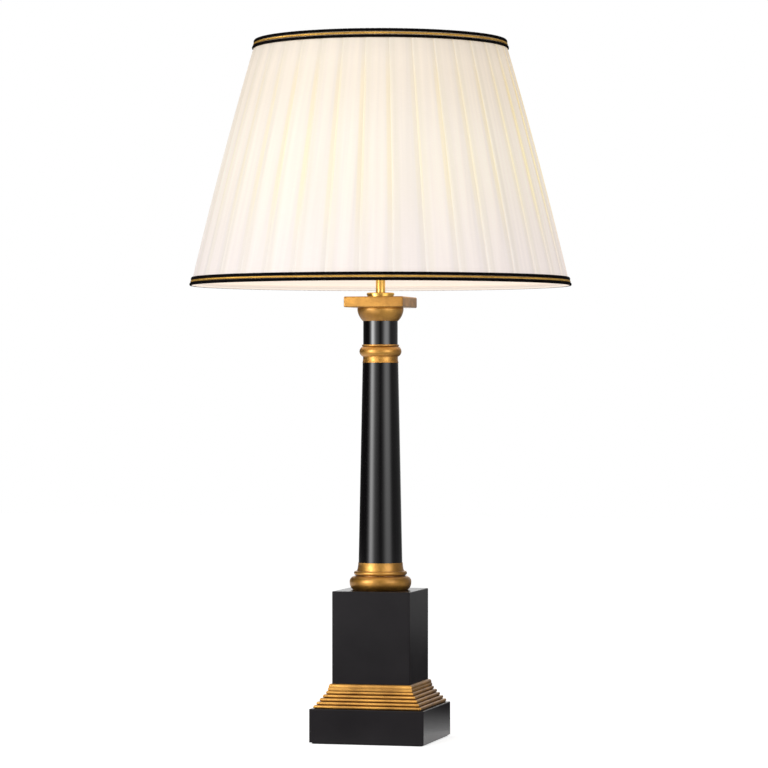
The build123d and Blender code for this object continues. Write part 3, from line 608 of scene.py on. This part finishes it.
@dataclass(frozen=True)
class Yarn(Finish):
    """Twisted braid cord: dyed rayon or metal-wrapped thread."""

    name: str
    colour: Colour
    shade: Colour
    roughness: float
    shine: float
    metal: float = 0.0
    uneven: float = 0.08
    fibre_depth: float = 0.08 * MM

    def lay(self, paint: Paint) -> None:
        """Lays the finish.

        Args:
            paint: the new material.
        """
        fibre = paint.noise(1500, 3)
        patch = paint.noise(45, 3)
        paint.surface(
            base_color=paint.mix(paint.spread(patch, 0, 1), self.colour, self.shade),
            metallic=self.metal,
            roughness=paint.spread(fibre, self.roughness - self.uneven, self.roughness + self.uneven),
            specular_ior_level=self.shine,
        )
        paint.bump(fibre, self.fibre_depth, 0.6)


@dataclass(frozen=True)
class Felt(Finish):
    """Pressed wool felt."""

    name: str = "black_felt"
    dark: Colour = (0.012, 0.012, 0.013)
    pale: Colour = (0.03, 0.029, 0.031)
    fuzz_depth: float = 0.25 * MM

    def lay(self, paint: Paint) -> None:
        """Lays the finish.

        Args:
            paint: the new material.
        """
        fuzz = paint.noise(900, 6)
        clump = paint.noise(120, 4)
        colour = paint.ramp(clump, [(0.3, self.dark), (0.7, self.pale)])
        paint.surface(base_color=colour, roughness=paint.spread(fuzz, 0.85, 1.0), sheen_weight=0.5)
        paint.bump(fuzz, self.fuzz_depth)


GILT = Gilding()
BLOCK_LACQUER = Lacquer("satin_black_lacquer", (0.22, 0.26), 0.12, 0.12)
DEEP_BLACK, SOFT_BLACK = (0.0013, 0.001, 0.0013), (0.0027, 0.0022, 0.0027)
COLUMN_LACQUER = Lacquer("polished_black_lacquer", (0.12, 0.16), 0.45, 0.15, DEEP_BLACK, SOFT_BLACK)
NECK_LACQUER = Lacquer("glossy_black_lacquer", (0.05, 0.08), 0.72, 0.08, DEEP_BLACK, SOFT_BLACK)
BRASS = Metal(MetalKind.BRASS)
CONTACT = Metal(MetalKind.CONTACT_BRASS)
NICKEL = Metal(MetalKind.NICKEL)
STEEL = Metal(MetalKind.STEEL)
SOLDER = Metal(MetalKind.SOLDER)
CARRIER_METAL = Metal(MetalKind.CARRIER)
IRON = CastIron()
FELT = Felt()
SILK = PleatedSilk()
BOARD = Grain("black_board", (0.02, 0.017, 0.015), (0.035, 0.03, 0.026), 0.75, 180, 0.08 * MM)
BUSH = Grain("black_nylon", (0.012, 0.012, 0.012), (0.02, 0.02, 0.02), 0.42)
PORCELAIN = Grain("glazed_porcelain", (0.86, 0.85, 0.82), (0.8, 0.79, 0.76), 0.22, 60, 0.03 * MM, 0.6)
BLACK_GLASS = Grain("black_glass", (0.01, 0.01, 0.012), (0.02, 0.02, 0.022), 0.14, 90, 0.01 * MM, 0.5)
BULB_WHITE = Grain("bulb_housing_white", (0.82, 0.81, 0.79), (0.77, 0.76, 0.74), 0.38)
CIRCUIT = Grain("green_circuit_board", (0.02, 0.11, 0.05), (0.03, 0.16, 0.07), 0.4)
CHIP_BOARD = Grain("white_chip_board", (0.8, 0.8, 0.78), (0.74, 0.74, 0.72), 0.4)
WHITE_WIRE = Grain("white_enamelled_wire", (0.83, 0.81, 0.76), (0.77, 0.75, 0.7), 0.35)
# The lining and the shade's wires give off painted bulb light; the wires a little less.
LINING = LitLining()
BOUND_WIRE = LitLining("cloth_bound_wire", strength=0.5)
OPAL = Glow("lit_opal_cover", (0.8, 0.78, 0.74), (1.0, 0.8, 0.52), 1.3)
PHOSPHOR = Glow("lit_chips", (0.9, 0.75, 0.3), (1.0, 0.85, 0.5), 8.0)
BLACK_YARN = Yarn("black_rayon_cord", (0.0016, 0.0013, 0.0016), (0.0035, 0.003, 0.0035), 0.6, 0.02)
GOLD_YARN = Yarn("gold_metal_thread", (0.74, 0.44, 0.1), (0.52, 0.29, 0.06), 0.38, 0.12, 0.7)


class Wardrobe:
    """Makes each finish's material once and puts it on pieces."""

    def __init__(self) -> None:
        """Starts with no materials."""
        self.made: dict[Finish, Material] = {}

    def material(self, finish: Finish) -> Material:
        """The material of a finish, made at its first use.

        Args:
            finish: the finish.

        Returns:
            Its material.
        """
        if finish not in self.made:
            self.made[finish] = finish.material()
        return self.made[finish]

    def dress_nodes(self, finish: Finish, *nodes: str) -> None:
        """Gives frame nodes a finish.

        Args:
            finish: the finish.
            *nodes: names of frame nodes.
        """
        for name in nodes:
            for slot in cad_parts[name].material_slots:
                slot.material = self.material(finish)
            LOG.info("%s keeps its shape, finish %s", name, self.material(finish).name)

    def dress(self, piece: Piece, finish: Finish) -> None:
        """Gives a new piece a finish."""
        piece.data.materials.clear()
        piece.data.materials.append(self.material(finish))


# ---- Modelling helpers
def deselect() -> None:
    """Leaves nothing selected."""
    bpy.ops.object.select_all(action="DESELECT")


def only(piece: Piece) -> None:
    """Selects one piece and makes it active.

    Args:
        piece: the object.
    """
    deselect()
    piece.select_set(True)
    bpy.context.view_layer.objects.active = piece


def from_front(turn: float, distance: float, height: float) -> Point:
    """A place round the axis; turn is in degrees from the front, to the right."""
    angle = math.radians(turn)
    return distance * math.sin(angle), -distance * math.cos(angle), height


def placed(name: str, data: bpy.types.ID) -> Piece:
    """A new object in the scene.

    Args:
        name: its name.
        data: its mesh, curve, lamp or camera.

    Returns:
        The object, at the origin.
    """
    made = bpy.data.objects.new(name, data)
    bpy.context.scene.collection.objects.link(made)
    return made


def ring_faces(rows: int, ring: int) -> list[tuple[int, ...]]:
    """Four-sided faces between closed rows of points.

    Args:
        rows: number of rows, each above the last.
        ring: number of points in a row.

    Returns:
        The faces as indices of points.
    """
    faces = []
    for first in range(0, (rows - 1) * ring, ring):
        for index in range(ring):
            a, b = first + index, first + (index + 1) % ring
            faces.append((a, b, b + ring, a + ring))
    return faces


def mesh_piece(name: str, points: Sequence[Point], faces: Sequence[tuple[int, ...]]) -> Piece:
    """A new mesh object at the origin.

    Args:
        name: the piece's name.
        points: its points in metres.
        faces: its faces as indices of points.

    Returns:
        The object, linked to the scene.
    """
    mesh = bpy.data.meshes.new(name)
    mesh.from_pydata(points, [], faces)
    mesh.update()
    return placed(name, mesh)


def point_numbers(piece: Piece, name: str, values: Sequence[float]) -> None:
    """Keeps one number for each point of a mesh piece, as an attribute of this name."""
    kept = piece.data.attributes.new(name, "FLOAT", "POINT")
    kept.data.foreach_set("value", values)


def point_map(piece: Piece, places: Sequence[tuple[float, float]]) -> None:
    """Lays a UV map on a piece from one place for each point.

    Args:
        piece: the mesh object.
        places: u and v of each point.
    """
    layer = piece.data.uv_layers.new(name="UVMap")
    for loop in piece.data.loops:
        layer.data[loop.index].uv = places[loop.vertex_index]


def smooth(piece: Piece, angle: float = 40.0) -> None:
    """Shades a piece smooth, but edges sharper than the angle, in degrees, stay sharp."""
    only(piece)
    bpy.ops.object.shade_smooth_by_angle(angle=math.radians(angle))


def apply_modifiers(piece: Piece) -> None:
    """Applies all of a piece's modifiers.

    Args:
        piece: the mesh object.
    """
    only(piece)
    for modifier in list(piece.modifiers):
        bpy.ops.object.modifier_apply(modifier=modifier.name)


def fit(piece: Piece, body: str, slot: str, *nodes: str) -> None:
    """Hands a finished piece to the frame.

    Args:
        piece: the finished piece.
        body: the body that it rides on.
        slot: the record's material slot; not used.
        *nodes: frame nodes that it stands for.
    """
    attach(piece, body)
    if nodes:
        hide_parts(*nodes)
    LOG.info("%s: %d faces, rides on %s", piece.name, len(piece.data.polygons), body)


class Assembly:
    """A sub-assembly: the finishes of its frame nodes, and the pieces that it makes."""

    finishes: tuple[tuple[Finish, tuple[str, ...]], ...] = ()

    def make(self, wardrobe: Wardrobe) -> None:
        """Makes the pieces that the frame doesn't shape, where there are any."""

    def build(self, wardrobe: Wardrobe) -> None:
        """Dresses the frame's nodes and makes the assembly's own pieces.

        Args:
            wardrobe: where the finishes come from.
        """
        for finish, nodes in self.finishes:
            wardrobe.dress_nodes(finish, *nodes)
        self.make(wardrobe)


# ---- Square foot
@dataclass
class SquareFoot(Assembly):
    """Felt, plinth, moulding and pedestal, with what they hold."""

    finishes = (
        (BLOCK_LACQUER, ("plinth", "pedestal")),
        (GILT, ("stepped_moulding",)),
        (BOARD, ("base_cover",)),
        (IRON, ("counterweight",)),
        (STEEL, ("base_cover_screws", "frame_screws")),
        (BUSH, ("cord_inlet_bush",)),
    )
    felt_corner: float = 3 * MM
    corner_steps: int = 6
    felt_edge: float = 0.5 * MM
    edge_steps: int = 3

    def make(self, wardrobe: Wardrobe) -> None:
        """Makes the felt sole, cut square with round corners and soft edges.

        Args:
            wardrobe: where its finish comes from.
        """
        low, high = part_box("felt_pad")
        side = high.x - low.x
        deselect()
        bpy.ops.mesh.primitive_plane_add(size=side, location=(0, 0, 0))
        pad = bpy.context.object
        pad.name = pad.data.name = "felt_sole"
        bpy.ops.object.mode_set(mode="EDIT")
        bpy.ops.mesh.bevel(offset=self.felt_corner, segments=self.corner_steps, affect="VERTICES")
        bpy.ops.mesh.extrude_region_move(TRANSFORM_OT_translate={"value": (0, 0, high.z)})
        bpy.ops.mesh.select_all(action="SELECT")
        bpy.ops.mesh.normals_make_consistent(inside=False)
        bpy.ops.object.mode_set(mode="OBJECT")
        rounding = pad.modifiers.new("soft_edge", "BEVEL")
        rounding.width = self.felt_edge
        rounding.segments = self.edge_steps
        rounding.limit_method = "ANGLE"
        apply_modifiers(pad)
        smooth(pad)
        wardrobe.dress(pad, FELT)
        fit(pad, "root", "felt", "felt_pad")


# ---- Column and lampholder
@dataclass
class Column(Assembly):
    """The turned column and what clamps it."""

    finishes = (
        (GILT, ("column_base", "astragal_ring", "echinus", "abacus")),
        (COLUMN_LACQUER, ("column_shaft",)),
        (NECK_LACQUER, ("column_neck",)),
        (BRASS, ("threaded_rod", "top_ring_nut")),
        (STEEL, ("rod_washer", "rod_lock_washer", "rod_nut")),
    )


@dataclass
class Lampholder(Assembly):
    """The screw lampholder and its shade ring."""

    finishes = (
        (BRASS, ("lampholder_cap", "lampholder_skirt", "shade_ring")),
        (PORCELAIN, ("lampholder_insert",)),
        (CONTACT, ("contact_spring", "screw_shell", "contact_rivets", "terminal_blocks")),
        (STEEL, ("terminal_screws", "cap_grub_screw")),
    )


@dataclass
class Bulb(Assembly):
    """The lit bulb."""

    finishes = (
        (SOLDER, ("bulb_tip",)),
        (BLACK_GLASS, ("bulb_insulator",)),
        (NICKEL, ("bulb_cap",)),
        (BULB_WHITE, ("bulb_housing",)),
        (CIRCUIT, ("driver_board",)),
        (CHIP_BOARD, ("led_board",)),
        (PHOSPHOR, ("led_chips",)),
        (OPAL, ("bulb_diffuser",)),
    )


# ---- Shade
@dataclass
class Cone:
    """The shade's outermost cone."""

    bottom_z: float
    top_z: float
    bottom_r: float = 200 * MM
    top_r: float = 131.9 * MM

    def radius(self, z: float) -> float:
        """The cone's radius at a height."""
        share = (z - self.bottom_z) / (self.top_z - self.bottom_z)
        return self.bottom_r + share * (self.top_r - self.bottom_r)

    @property
    def lean(self) -> float:
        """Angle of the cone's side from upright, in radians."""
        return math.atan((self.bottom_r - self.top_r) / (self.top_z - self.bottom_z))


@dataclass
class PleatedCloth:
    """Knife pleats laid round the cone as one folded sheet of cloth.

    From its fold each pleat's face drops a little to its tuck. There the cloth runs on under the next
    pleat by the overlap, and it turns back there to that pleat's fold.
    """

    cone: Cone
    count: int = 36
    phase: float = 7.97
    edge_turn: float = 0.3 * MM
    crest_inset: float = 1.5 * MM
    crown: float = 2.0 * MM
    drop: float = 1.05 * MM
    ply: float = 0.55 * MM
    fold_bend: float = 0.45 * MM
    overlap_bottom: float = 5.5 * MM
    overlap_top: float = 4.5 * MM
    thickness: float = 0.28 * MM
    pleat_cloth: float = 50 * MM
    rows: int = 22
    wander: float = 0.14
    sway: float = 0.1 * MM
    sway_waves: float = 2.3
    sway_shift: float = 1.7
    drop_power: float = 1.5
    crown_power: float = 0.7
    fold_share: float = 0.015
    turn_back: float = 0.6
    sharp_angle: float = 70.0
    seed: int = 36
    face_steps: tuple[float, ...] = (0.04, 0.09, 0.16, 0.26, 0.38, 0.5, 0.62, 0.73, 0.83, 0.91, 0.97)

    def fold_turns(self) -> list[tuple[float, float, float]]:
        """Where each fold runs.

        Returns:
            For each fold its angle at the bottom and at the top in degrees, and a bow between them.
        """
        draw = random.Random(self.seed)
        pitch = 360 / self.count
        folds = []
        for index in range(self.count):
            turn = self.phase + pitch * index
            low, high, bow = (draw.uniform(-self.wander, self.wander) for _ in range(3))
            folds.append((turn + low, turn + high, bow))
        return folds

    def row(self, rise: float, folds: list[tuple[float, float, float]]) -> list[tuple[float, ...]]:
        """The cloth's line round the shade at one height.

        Args:
            rise: 0 at the bottom edge and 1 at the top.
            folds: from fold_turns.

        Returns:
            For each point its angle in degrees, its inset from the crest, its place across the pleat and
            the length of cloth up to it.
        """
        radius = self.crest(rise)
        per_mm = math.degrees(1 / radius)
        overlap = (self.overlap_bottom + rise * (self.overlap_top - self.overlap_bottom)) * per_mm
        bend = self.fold_bend * per_mm
        turns = [low + rise * (high - low) + bow * math.sin(math.pi * rise) for low, high, bow in folds]
        line = []
        for index, turn in enumerate(turns):
            after = turns[index + 1] if index + 1 < self.count else turns[0] + 360
            wave = self.sway * math.sin(self.sway_waves * rise * math.pi + self.sway_shift * index)
            face = after - turn - bend
            line += [(turn, self.ply / 2, 0.0), (turn + bend, 0.0, self.fold_share)]
            for step in self.face_steps:
                inset = self.drop * step**self.drop_power + wave * math.sin(math.pi * step)
                line.append((turn + bend + step * face, inset, step))
            tail = 2 * self.ply
            line += [(after + 0.5 * bend, tail, 1.0), (after + self.turn_back * overlap, tail, 1.0)]
            line.append((after + overlap, 1.5 * self.ply, 1.0))
            line += [(after + self.turn_back * overlap, self.ply, 0.0), (after + 1.5 * bend, self.ply, 0.0)]
        return self.measured(line, radius)

    def measured(self, line: list[tuple[float, ...]], radius: float) -> list[tuple[float, ...]]:
        """Adds to each point of a row the length of cloth up to it.

        Args:
            line: the row's points, each with its angle, inset and place across the pleat.
            radius: the row's radius at the folds' crests.

        Returns:
            The same points, each with the length as a fourth number.
        """
        run = 0.0
        before = line[0]
        made = []
        for turn, inset, across in line:
            along = math.radians(turn - before[0]) * radius
            run += math.hypot(along, inset - before[1])
            made.append((turn, inset, across, run))
            before = (turn, inset)
        return made

    def crest(self, rise: float) -> float:
        """Radius of the folds' crests in a row; they swell a little between the braids."""
        swell = self.crown * math.sin(math.pi * rise) ** self.crown_power
        return self.cone.radius(self.height(rise)) - self.crest_inset + swell

    def height(self, rise: float) -> float:
        """Height of a row, from 0 at the bottom edge to 1 at the top."""
        low, high = self.cone.bottom_z + self.edge_turn, self.cone.top_z - self.edge_turn
        return low + rise * (high - low)

    def cut(self) -> tuple[float, float, float]:
        """The flat cut of the cloth, unfolded.

        Returns:
            Its width at the bottom edge, its length and its area.
        """
        folds = self.fold_turns()
        length = (self.height(1) - self.height(0)) / math.cos(self.cone.lean)
        widths = [self.row(rise, folds)[-1][3] for rise in (0.0, 0.5, 1.0)]
        return widths[0], length, length * (widths[0] + 4 * widths[1] + widths[2]) / 6

    def build(self, wardrobe: Wardrobe) -> Piece:
        """Makes the cloth.

        Args:
            wardrobe: where its finish comes from.

        Returns:
            The finished piece.
        """
        folds = self.fold_turns()
        points, across, rises, chances, places = [], [], [], [], []
        draw = random.Random(self.seed + 1)
        luck = [draw.random() for _ in range(self.count)]
        for level in range(self.rows + 1):
            rise = level / self.rows
            z = self.height(rise)
            crest = self.crest(rise)
            line = self.row(rise, folds)
            in_pleat = len(line) // self.count
            chances += [luck[index // in_pleat] for index in range(len(line))]
            for index, (turn, inset, share, run) in enumerate(line):
                angle = math.radians(turn)
                radius = crest - inset
                points.append((radius * math.cos(angle), radius * math.sin(angle), z))
                across.append(share)
                rises.append(rise)
                pleat = index // in_pleat
                along = run - line[pleat * in_pleat][3] + pleat * self.pleat_cloth
                places.append((along, (z - self.cone.bottom_z) / math.cos(self.cone.lean)))
        cloth = mesh_piece("pleated_silk_cover", points, ring_faces(self.rows + 1, len(line)))
        point_numbers(cloth, "across", across)
        point_numbers(cloth, "rise", rises)
        point_numbers(cloth, "chance", chances)
        point_map(cloth, places)
        wall = cloth.modifiers.new("thickness", "SOLIDIFY")
        wall.thickness = self.thickness
        wall.offset = 0
        apply_modifiers(cloth)
        smooth(cloth, self.sharp_angle)
        wardrobe.dress(cloth, SILK)
        fit(cloth, "shade", "pleated_cloth", "pleated_cover")
        return cloth


@dataclass
class Braid:
    """One edge braid: a gold cord between two black ones, each twisted from strands."""

    cone: Cone
    name: str
    low: float
    height: float
    strands: int = 3
    black_r: float = 0.86 * MM
    gold_r: float = 0.58 * MM
    black_reach: float = 0.92 * MM
    gold_reach: float = 0.72 * MM
    reach_out: float = 0.42 * MM
    back_inset: float = 1.71 * MM
    gold_inset: float = 0.05 * MM
    spread: float = 0.315
    twist: float = 5.2 * MM
    steps: int = 8

    def cord(self, index: int, reach: float, inset: float = 0.0) -> list[list[Point]]:
        """The lines of one cord's strands.

        Args:
            index: 0 for the lowest cord, 2 for the highest.
            reach: how far its strands go up and down from its middle.
            inset: how far the cord is set back.

        Returns:
            A closed line of points for each strand.
        """
        middle = self.low + self.height * (0.5 + (index - 1) * self.spread)
        radius = self.cone.radius(middle) - self.back_inset + self.black_r + self.reach_out - inset
        turns = round(2 * math.pi * radius / self.twist)
        lines = []
        for strand in range(self.strands):
            line = []
            for step in range(turns * self.steps):
                angle = 2 * math.pi * step / (turns * self.steps)
                roll = 2 * math.pi * (step / self.steps + strand / self.strands)
                up = reach * math.sin(roll)
                out = radius + (self.reach_out * math.cos(roll) - up * math.tan(self.cone.lean))
                line.append((out * math.cos(angle), out * math.sin(angle), middle + up))
            lines.append(line)
        return lines

    def strands_piece(self, name: str, lines: list[list[Point]], strand_r: float) -> Piece:
        """Sweeps a round strand along each line and makes one mesh of them.

        Args:
            name: the piece's name.
            lines: a closed line of points for each strand.
            strand_r: the strand's radius.

        Returns:
            The mesh object.
        """
        curve = bpy.data.curves.new(name, "CURVE")
        curve.dimensions = "3D"
        curve.bevel_depth = strand_r
        curve.bevel_resolution = 1
        for line in lines:
            spline = curve.splines.new("POLY")
            spline.points.add(len(line) - 1)
            spline.points.foreach_set("co", [part for point in line for part in (*point, 1.0)])
            spline.use_cyclic_u = True
        only(placed(name, curve))
        bpy.ops.object.convert(target="MESH")
        return bpy.context.object

    def build(self, wardrobe: Wardrobe) -> list[Piece]:
        """Makes the braid.

        Args:
            wardrobe: where its finishes come from.

        Returns:
            The black and the gold piece.
        """
        outer = self.cord(0, self.black_reach) + self.cord(2, self.black_reach)
        black = self.strands_piece(self.name + "_braid_black", outer, self.black_r)
        middle = self.cord(1, self.gold_reach, self.gold_inset)
        gold = self.strands_piece(self.name + "_braid_gold", middle, self.gold_r)
        for piece, finish, colour in ((black, BLACK_YARN, "black"), (gold, GOLD_YARN, "gold")):
            only(piece)
            bpy.ops.object.shade_smooth()
            wardrobe.dress(piece, finish)
            fit(piece, "shade", colour + "_braid", f"{self.name}_trim_{colour}")
        return [black, gold]


@dataclass
class Shade(Assembly):
    """The shade on its carrier."""

    finishes = (
        (CARRIER_METAL, ("carrier_plate", "carrier_arms", "carrier_ring")),
        (WHITE_WIRE, ("gimbal_ring", "gimbal_arms")),
        (BOUND_WIRE, ("shade_top_wire", "shade_bottom_wire")),
        (LINING, ("shade_lining",)),
    )
    bottom_narrower: float = 1.0 * MM

    def make(self, wardrobe: Wardrobe) -> None:
        """Makes the cloth and the two braids.

        Args:
            wardrobe: where their finishes come from.
        """
        edges = {name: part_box(name + "_trim_black") for name in ("bottom", "top")}
        cone = Cone(edges["bottom"][0].z, edges["top"][1].z)
        weaver = PleatedCloth(cone)
        cloth = weaver.build(wardrobe)
        braids = []
        for name, less in (("bottom", self.bottom_narrower), ("top", 0.0)):
            low, high = edges[name]
            braids += Braid(cone, name, low.z, high.z - low.z - less).build(wardrobe)
        width, length, area = weaver.cut()


# ---- Studio
@dataclass
class Softbox:
    """A large soft lamp that stands round the object and faces its axis; reflections don't show it."""

    name: str
    turn: float
    distance: float
    height: float
    width: float
    tall: float
    radiance: float
    aim_z: float = 0.4

    def build(self) -> None:
        """Makes the lamp."""
        light = bpy.data.lights.new(self.name, "AREA")
        light.shape = "RECTANGLE"
        light.size = self.width
        light.size_y = self.tall
        light.energy = self.radiance * math.pi * self.width * self.tall
        lamp = placed(self.name, light)
        lamp.location = from_front(self.turn, self.distance, self.height)
        aim = Vector((0, 0, self.aim_z)) - lamp.location
        lamp.rotation_euler = aim.to_track_quat("-Z", "Y").to_euler()
        lamp.visible_glossy = False


@dataclass
class ReflectionRoom:
    """What the gloss mirrors: a round wall with soft lamps and dark gaps, and an uneven floor.

    Only reflections see it. Turns are in degrees round the axis from the front, to the right. A level has
    its height, its share of the wall's glow and some even glow, which is left out behind; a floor row its
    radius and its glow behind, to the left, in front and to the right.
    """

    wall: tuple[tuple[float, float], ...] = (
        (-180, 0.9), (-176, 1.3), (-156, 1.3), (-148, 0.1), (-100, 0.03), (-72, 0.04), (-64, 0.3),
        (-57, 0.95), (-50, 3.0), (-45, 6.9), (-40, 8.3), (-34, 7.6), (-28, 4.9), (-22, 2.6), (-16, 1.4),
        (-10, 0.9), (-4, 0.65), (2, 0.45), (8, 0.2), (14, 0.1), (20, 0.2), (27, 0.5), (33, 1.0), (39, 1.9),
        (45, 2.6), (52, 3.0), (65, 2.6), (72, 1.5), (80, 0.5), (88, 0.25), (100, 0.22), (150, 0.22),
        (158, 0.35), (172, 0.35),
    )
    levels: tuple[tuple[float, float, float], ...] = (
        (0.01, 0.6, 0.7), (0.07, 0.65, 0.6), (0.14, 0.8, 0.0), (0.36, 1.0, 0.0), (0.39, 1.2, 0.0),
        (0.6, 1.1, 0.0), (2.0, 0.4, 0.0),
    )
    sectors: tuple[float, ...] = (-150, -32, 4, 120)
    floor: tuple[tuple[float, tuple[float, ...]], ...] = (
        (0.12, (0.85, 1.0, 1.0, 0.8)), (0.2, (0.5, 1.1, 0.6, 0.6)), (0.36, (0.0, 1.1, 0.12, 0.5)),
        (0.5, (0.03, 1.0, 0.12, 0.45)), (0.8, (0.04, 0.7, 1.6, 0.4)), (1.3, (0.03, 0.6, 2.0, 0.4)),
    )
    radius: float = 1.6
    floor_z: float = 2 * MM

    def build(self) -> None:
        """Makes the room as one sheet with its glow kept on its points."""
        sector = [bisect.bisect(self.sectors, turn) % len(self.sectors) for turn, _ in self.wall]
        rows = [(radius, self.floor_z, [glows[place] for place in sector]) for radius, glows in self.floor]
        for z, share, more in self.levels:
            row = [share * glow + (more if place else 0) for (_, glow), place in zip(self.wall, sector)]
            rows.append((self.radius, z, row))
        points, glows = [], []
        for radius, z, row in rows:
            points += [from_front(turn, radius, z) for turn, _ in self.wall]
            glows += row
        room = mesh_piece("reflection_room", points, ring_faces(len(rows), len(self.wall)))
        point_numbers(room, "glow", glows)
        paint = Paint("room_glow")
        paint.surface(
            base_color=BLACK, specular_ior_level=0.0, emission_color=WHITE,
            emission_strength=paint.attribute("glow"),
        )
        room.data.materials.append(paint.material)
        room.visible_camera = room.visible_diffuse = False
        room.visible_shadow = room.visible_transmission = False


@dataclass
class Studio:
    """White floor and backdrop, soft lamps, the room that gloss mirrors, and the photograph's camera."""

    camera_turn: float = 14.27
    camera_distance: float = 3.7065
    camera_height: float = 0.37344
    focal_pixels: float = 3530.0
    picture_pixels: float = 768.0
    axis_pixel: float = 380.5
    sensor: float = 36.0
    floor_side: float = 12.0
    floor_fill: float = 0.66
    floor_grey: Colour = (0.8, 0.8, 0.8)
    ambient: float = 0.45
    far: float = 50.0

    def build(self) -> None:
        """Makes the floor, the world, the lamps and the camera."""
        bpy.context.scene.view_settings.view_transform = "Standard"
        self.floor()
        self.world()
        for softbox in (
            Softbox("key_softbox", turn=-25, distance=2, height=1.1, width=1.5, tall=1.5, radiance=3.35),
            Softbox("fill_softbox", turn=72, distance=2, height=0.6, width=1.3, tall=1.1, radiance=2.1),
        ):
            softbox.build()
        ReflectionRoom().build()
        self.camera()

    def seen(self, tree: bpy.types.NodeTree) -> Socket:
        """Tells the rays that show the backdrop from the rest.

        Args:
            tree: the node tree that needs it.

        Returns:
            1 for camera, glossy and transmission rays.
        """
        path = tree.nodes.new("ShaderNodeLightPath")
        total = path.outputs["Is Camera Ray"]
        for name in ("Is Glossy Ray", "Is Transmission Ray"):
            add = tree.nodes.new("ShaderNodeMath")
            add.operation = "MAXIMUM"
            tree.links.new(total, add.inputs[0])
            tree.links.new(path.outputs[name], add.inputs[1])
            total = add.outputs[0]
        return total

    def floor(self) -> None:
        """Pale floor that keeps the lamp's shadow."""
        deselect()
        bpy.ops.mesh.primitive_plane_add(size=self.floor_side, location=(0, 0, 0))
        floor = bpy.context.object
        floor.name = "floor"
        paint = Paint("pale_floor")
        paint.surface(
            base_color=self.floor_grey, roughness=0.9, specular_ior_level=0.0, emission_color=WHITE
        )
        glow = paint.maths("MULTIPLY", self.seen(paint.tree), self.floor_fill)
        paint.join(glow, paint.shader.inputs["Emission Strength"])
        floor.data.materials.append(paint.material)

    def world(self) -> None:
        """White to the camera, dimmer as ambient light."""
        world = bpy.data.worlds.new("studio")
        bpy.context.scene.world = world
        world.use_nodes = True
        tree = world.node_tree
        tree.nodes.clear()
        output = tree.nodes.new("ShaderNodeOutputWorld")
        back = tree.nodes.new("ShaderNodeBackground")
        back.inputs["Color"].default_value = (*WHITE, 1.0)
        strength = tree.nodes.new("ShaderNodeMapRange")
        strength.inputs["To Min"].default_value = self.ambient
        strength.inputs["To Max"].default_value = 1.0
        tree.links.new(self.seen(tree), strength.inputs["Value"])
        tree.links.new(strength.outputs["Result"], back.inputs["Strength"])
        tree.links.new(back.outputs["Background"], output.inputs["Surface"])

    def camera(self) -> None:
        """The photograph's camera, level, in front and a little to the right."""
        data = bpy.data.cameras.new("camera")
        data.sensor_width = self.sensor
        data.lens = self.focal_pixels / self.picture_pixels * self.sensor
        data.shift_x = (self.picture_pixels / 2 - self.axis_pixel) / self.picture_pixels
        data.clip_end = self.far
        camera = placed("camera", data)
        camera.location = from_front(self.camera_turn, self.camera_distance, self.camera_height)
        camera.rotation_euler = (math.pi / 2, 0, math.radians(self.camera_turn))
        bpy.context.scene.camera = camera


def main() -> None:
    """Builds the lamp's looks and its studio."""
    logging.basicConfig(level=logging.INFO, format="%(message)s")
    wardrobe = Wardrobe()
    Studio().build()
    for assembly in (SquareFoot(), Column(), Lampholder(), Bulb(), Shade()):
        assembly.build(wardrobe)
    deselect()


if __name__ == "__main__":
    main()
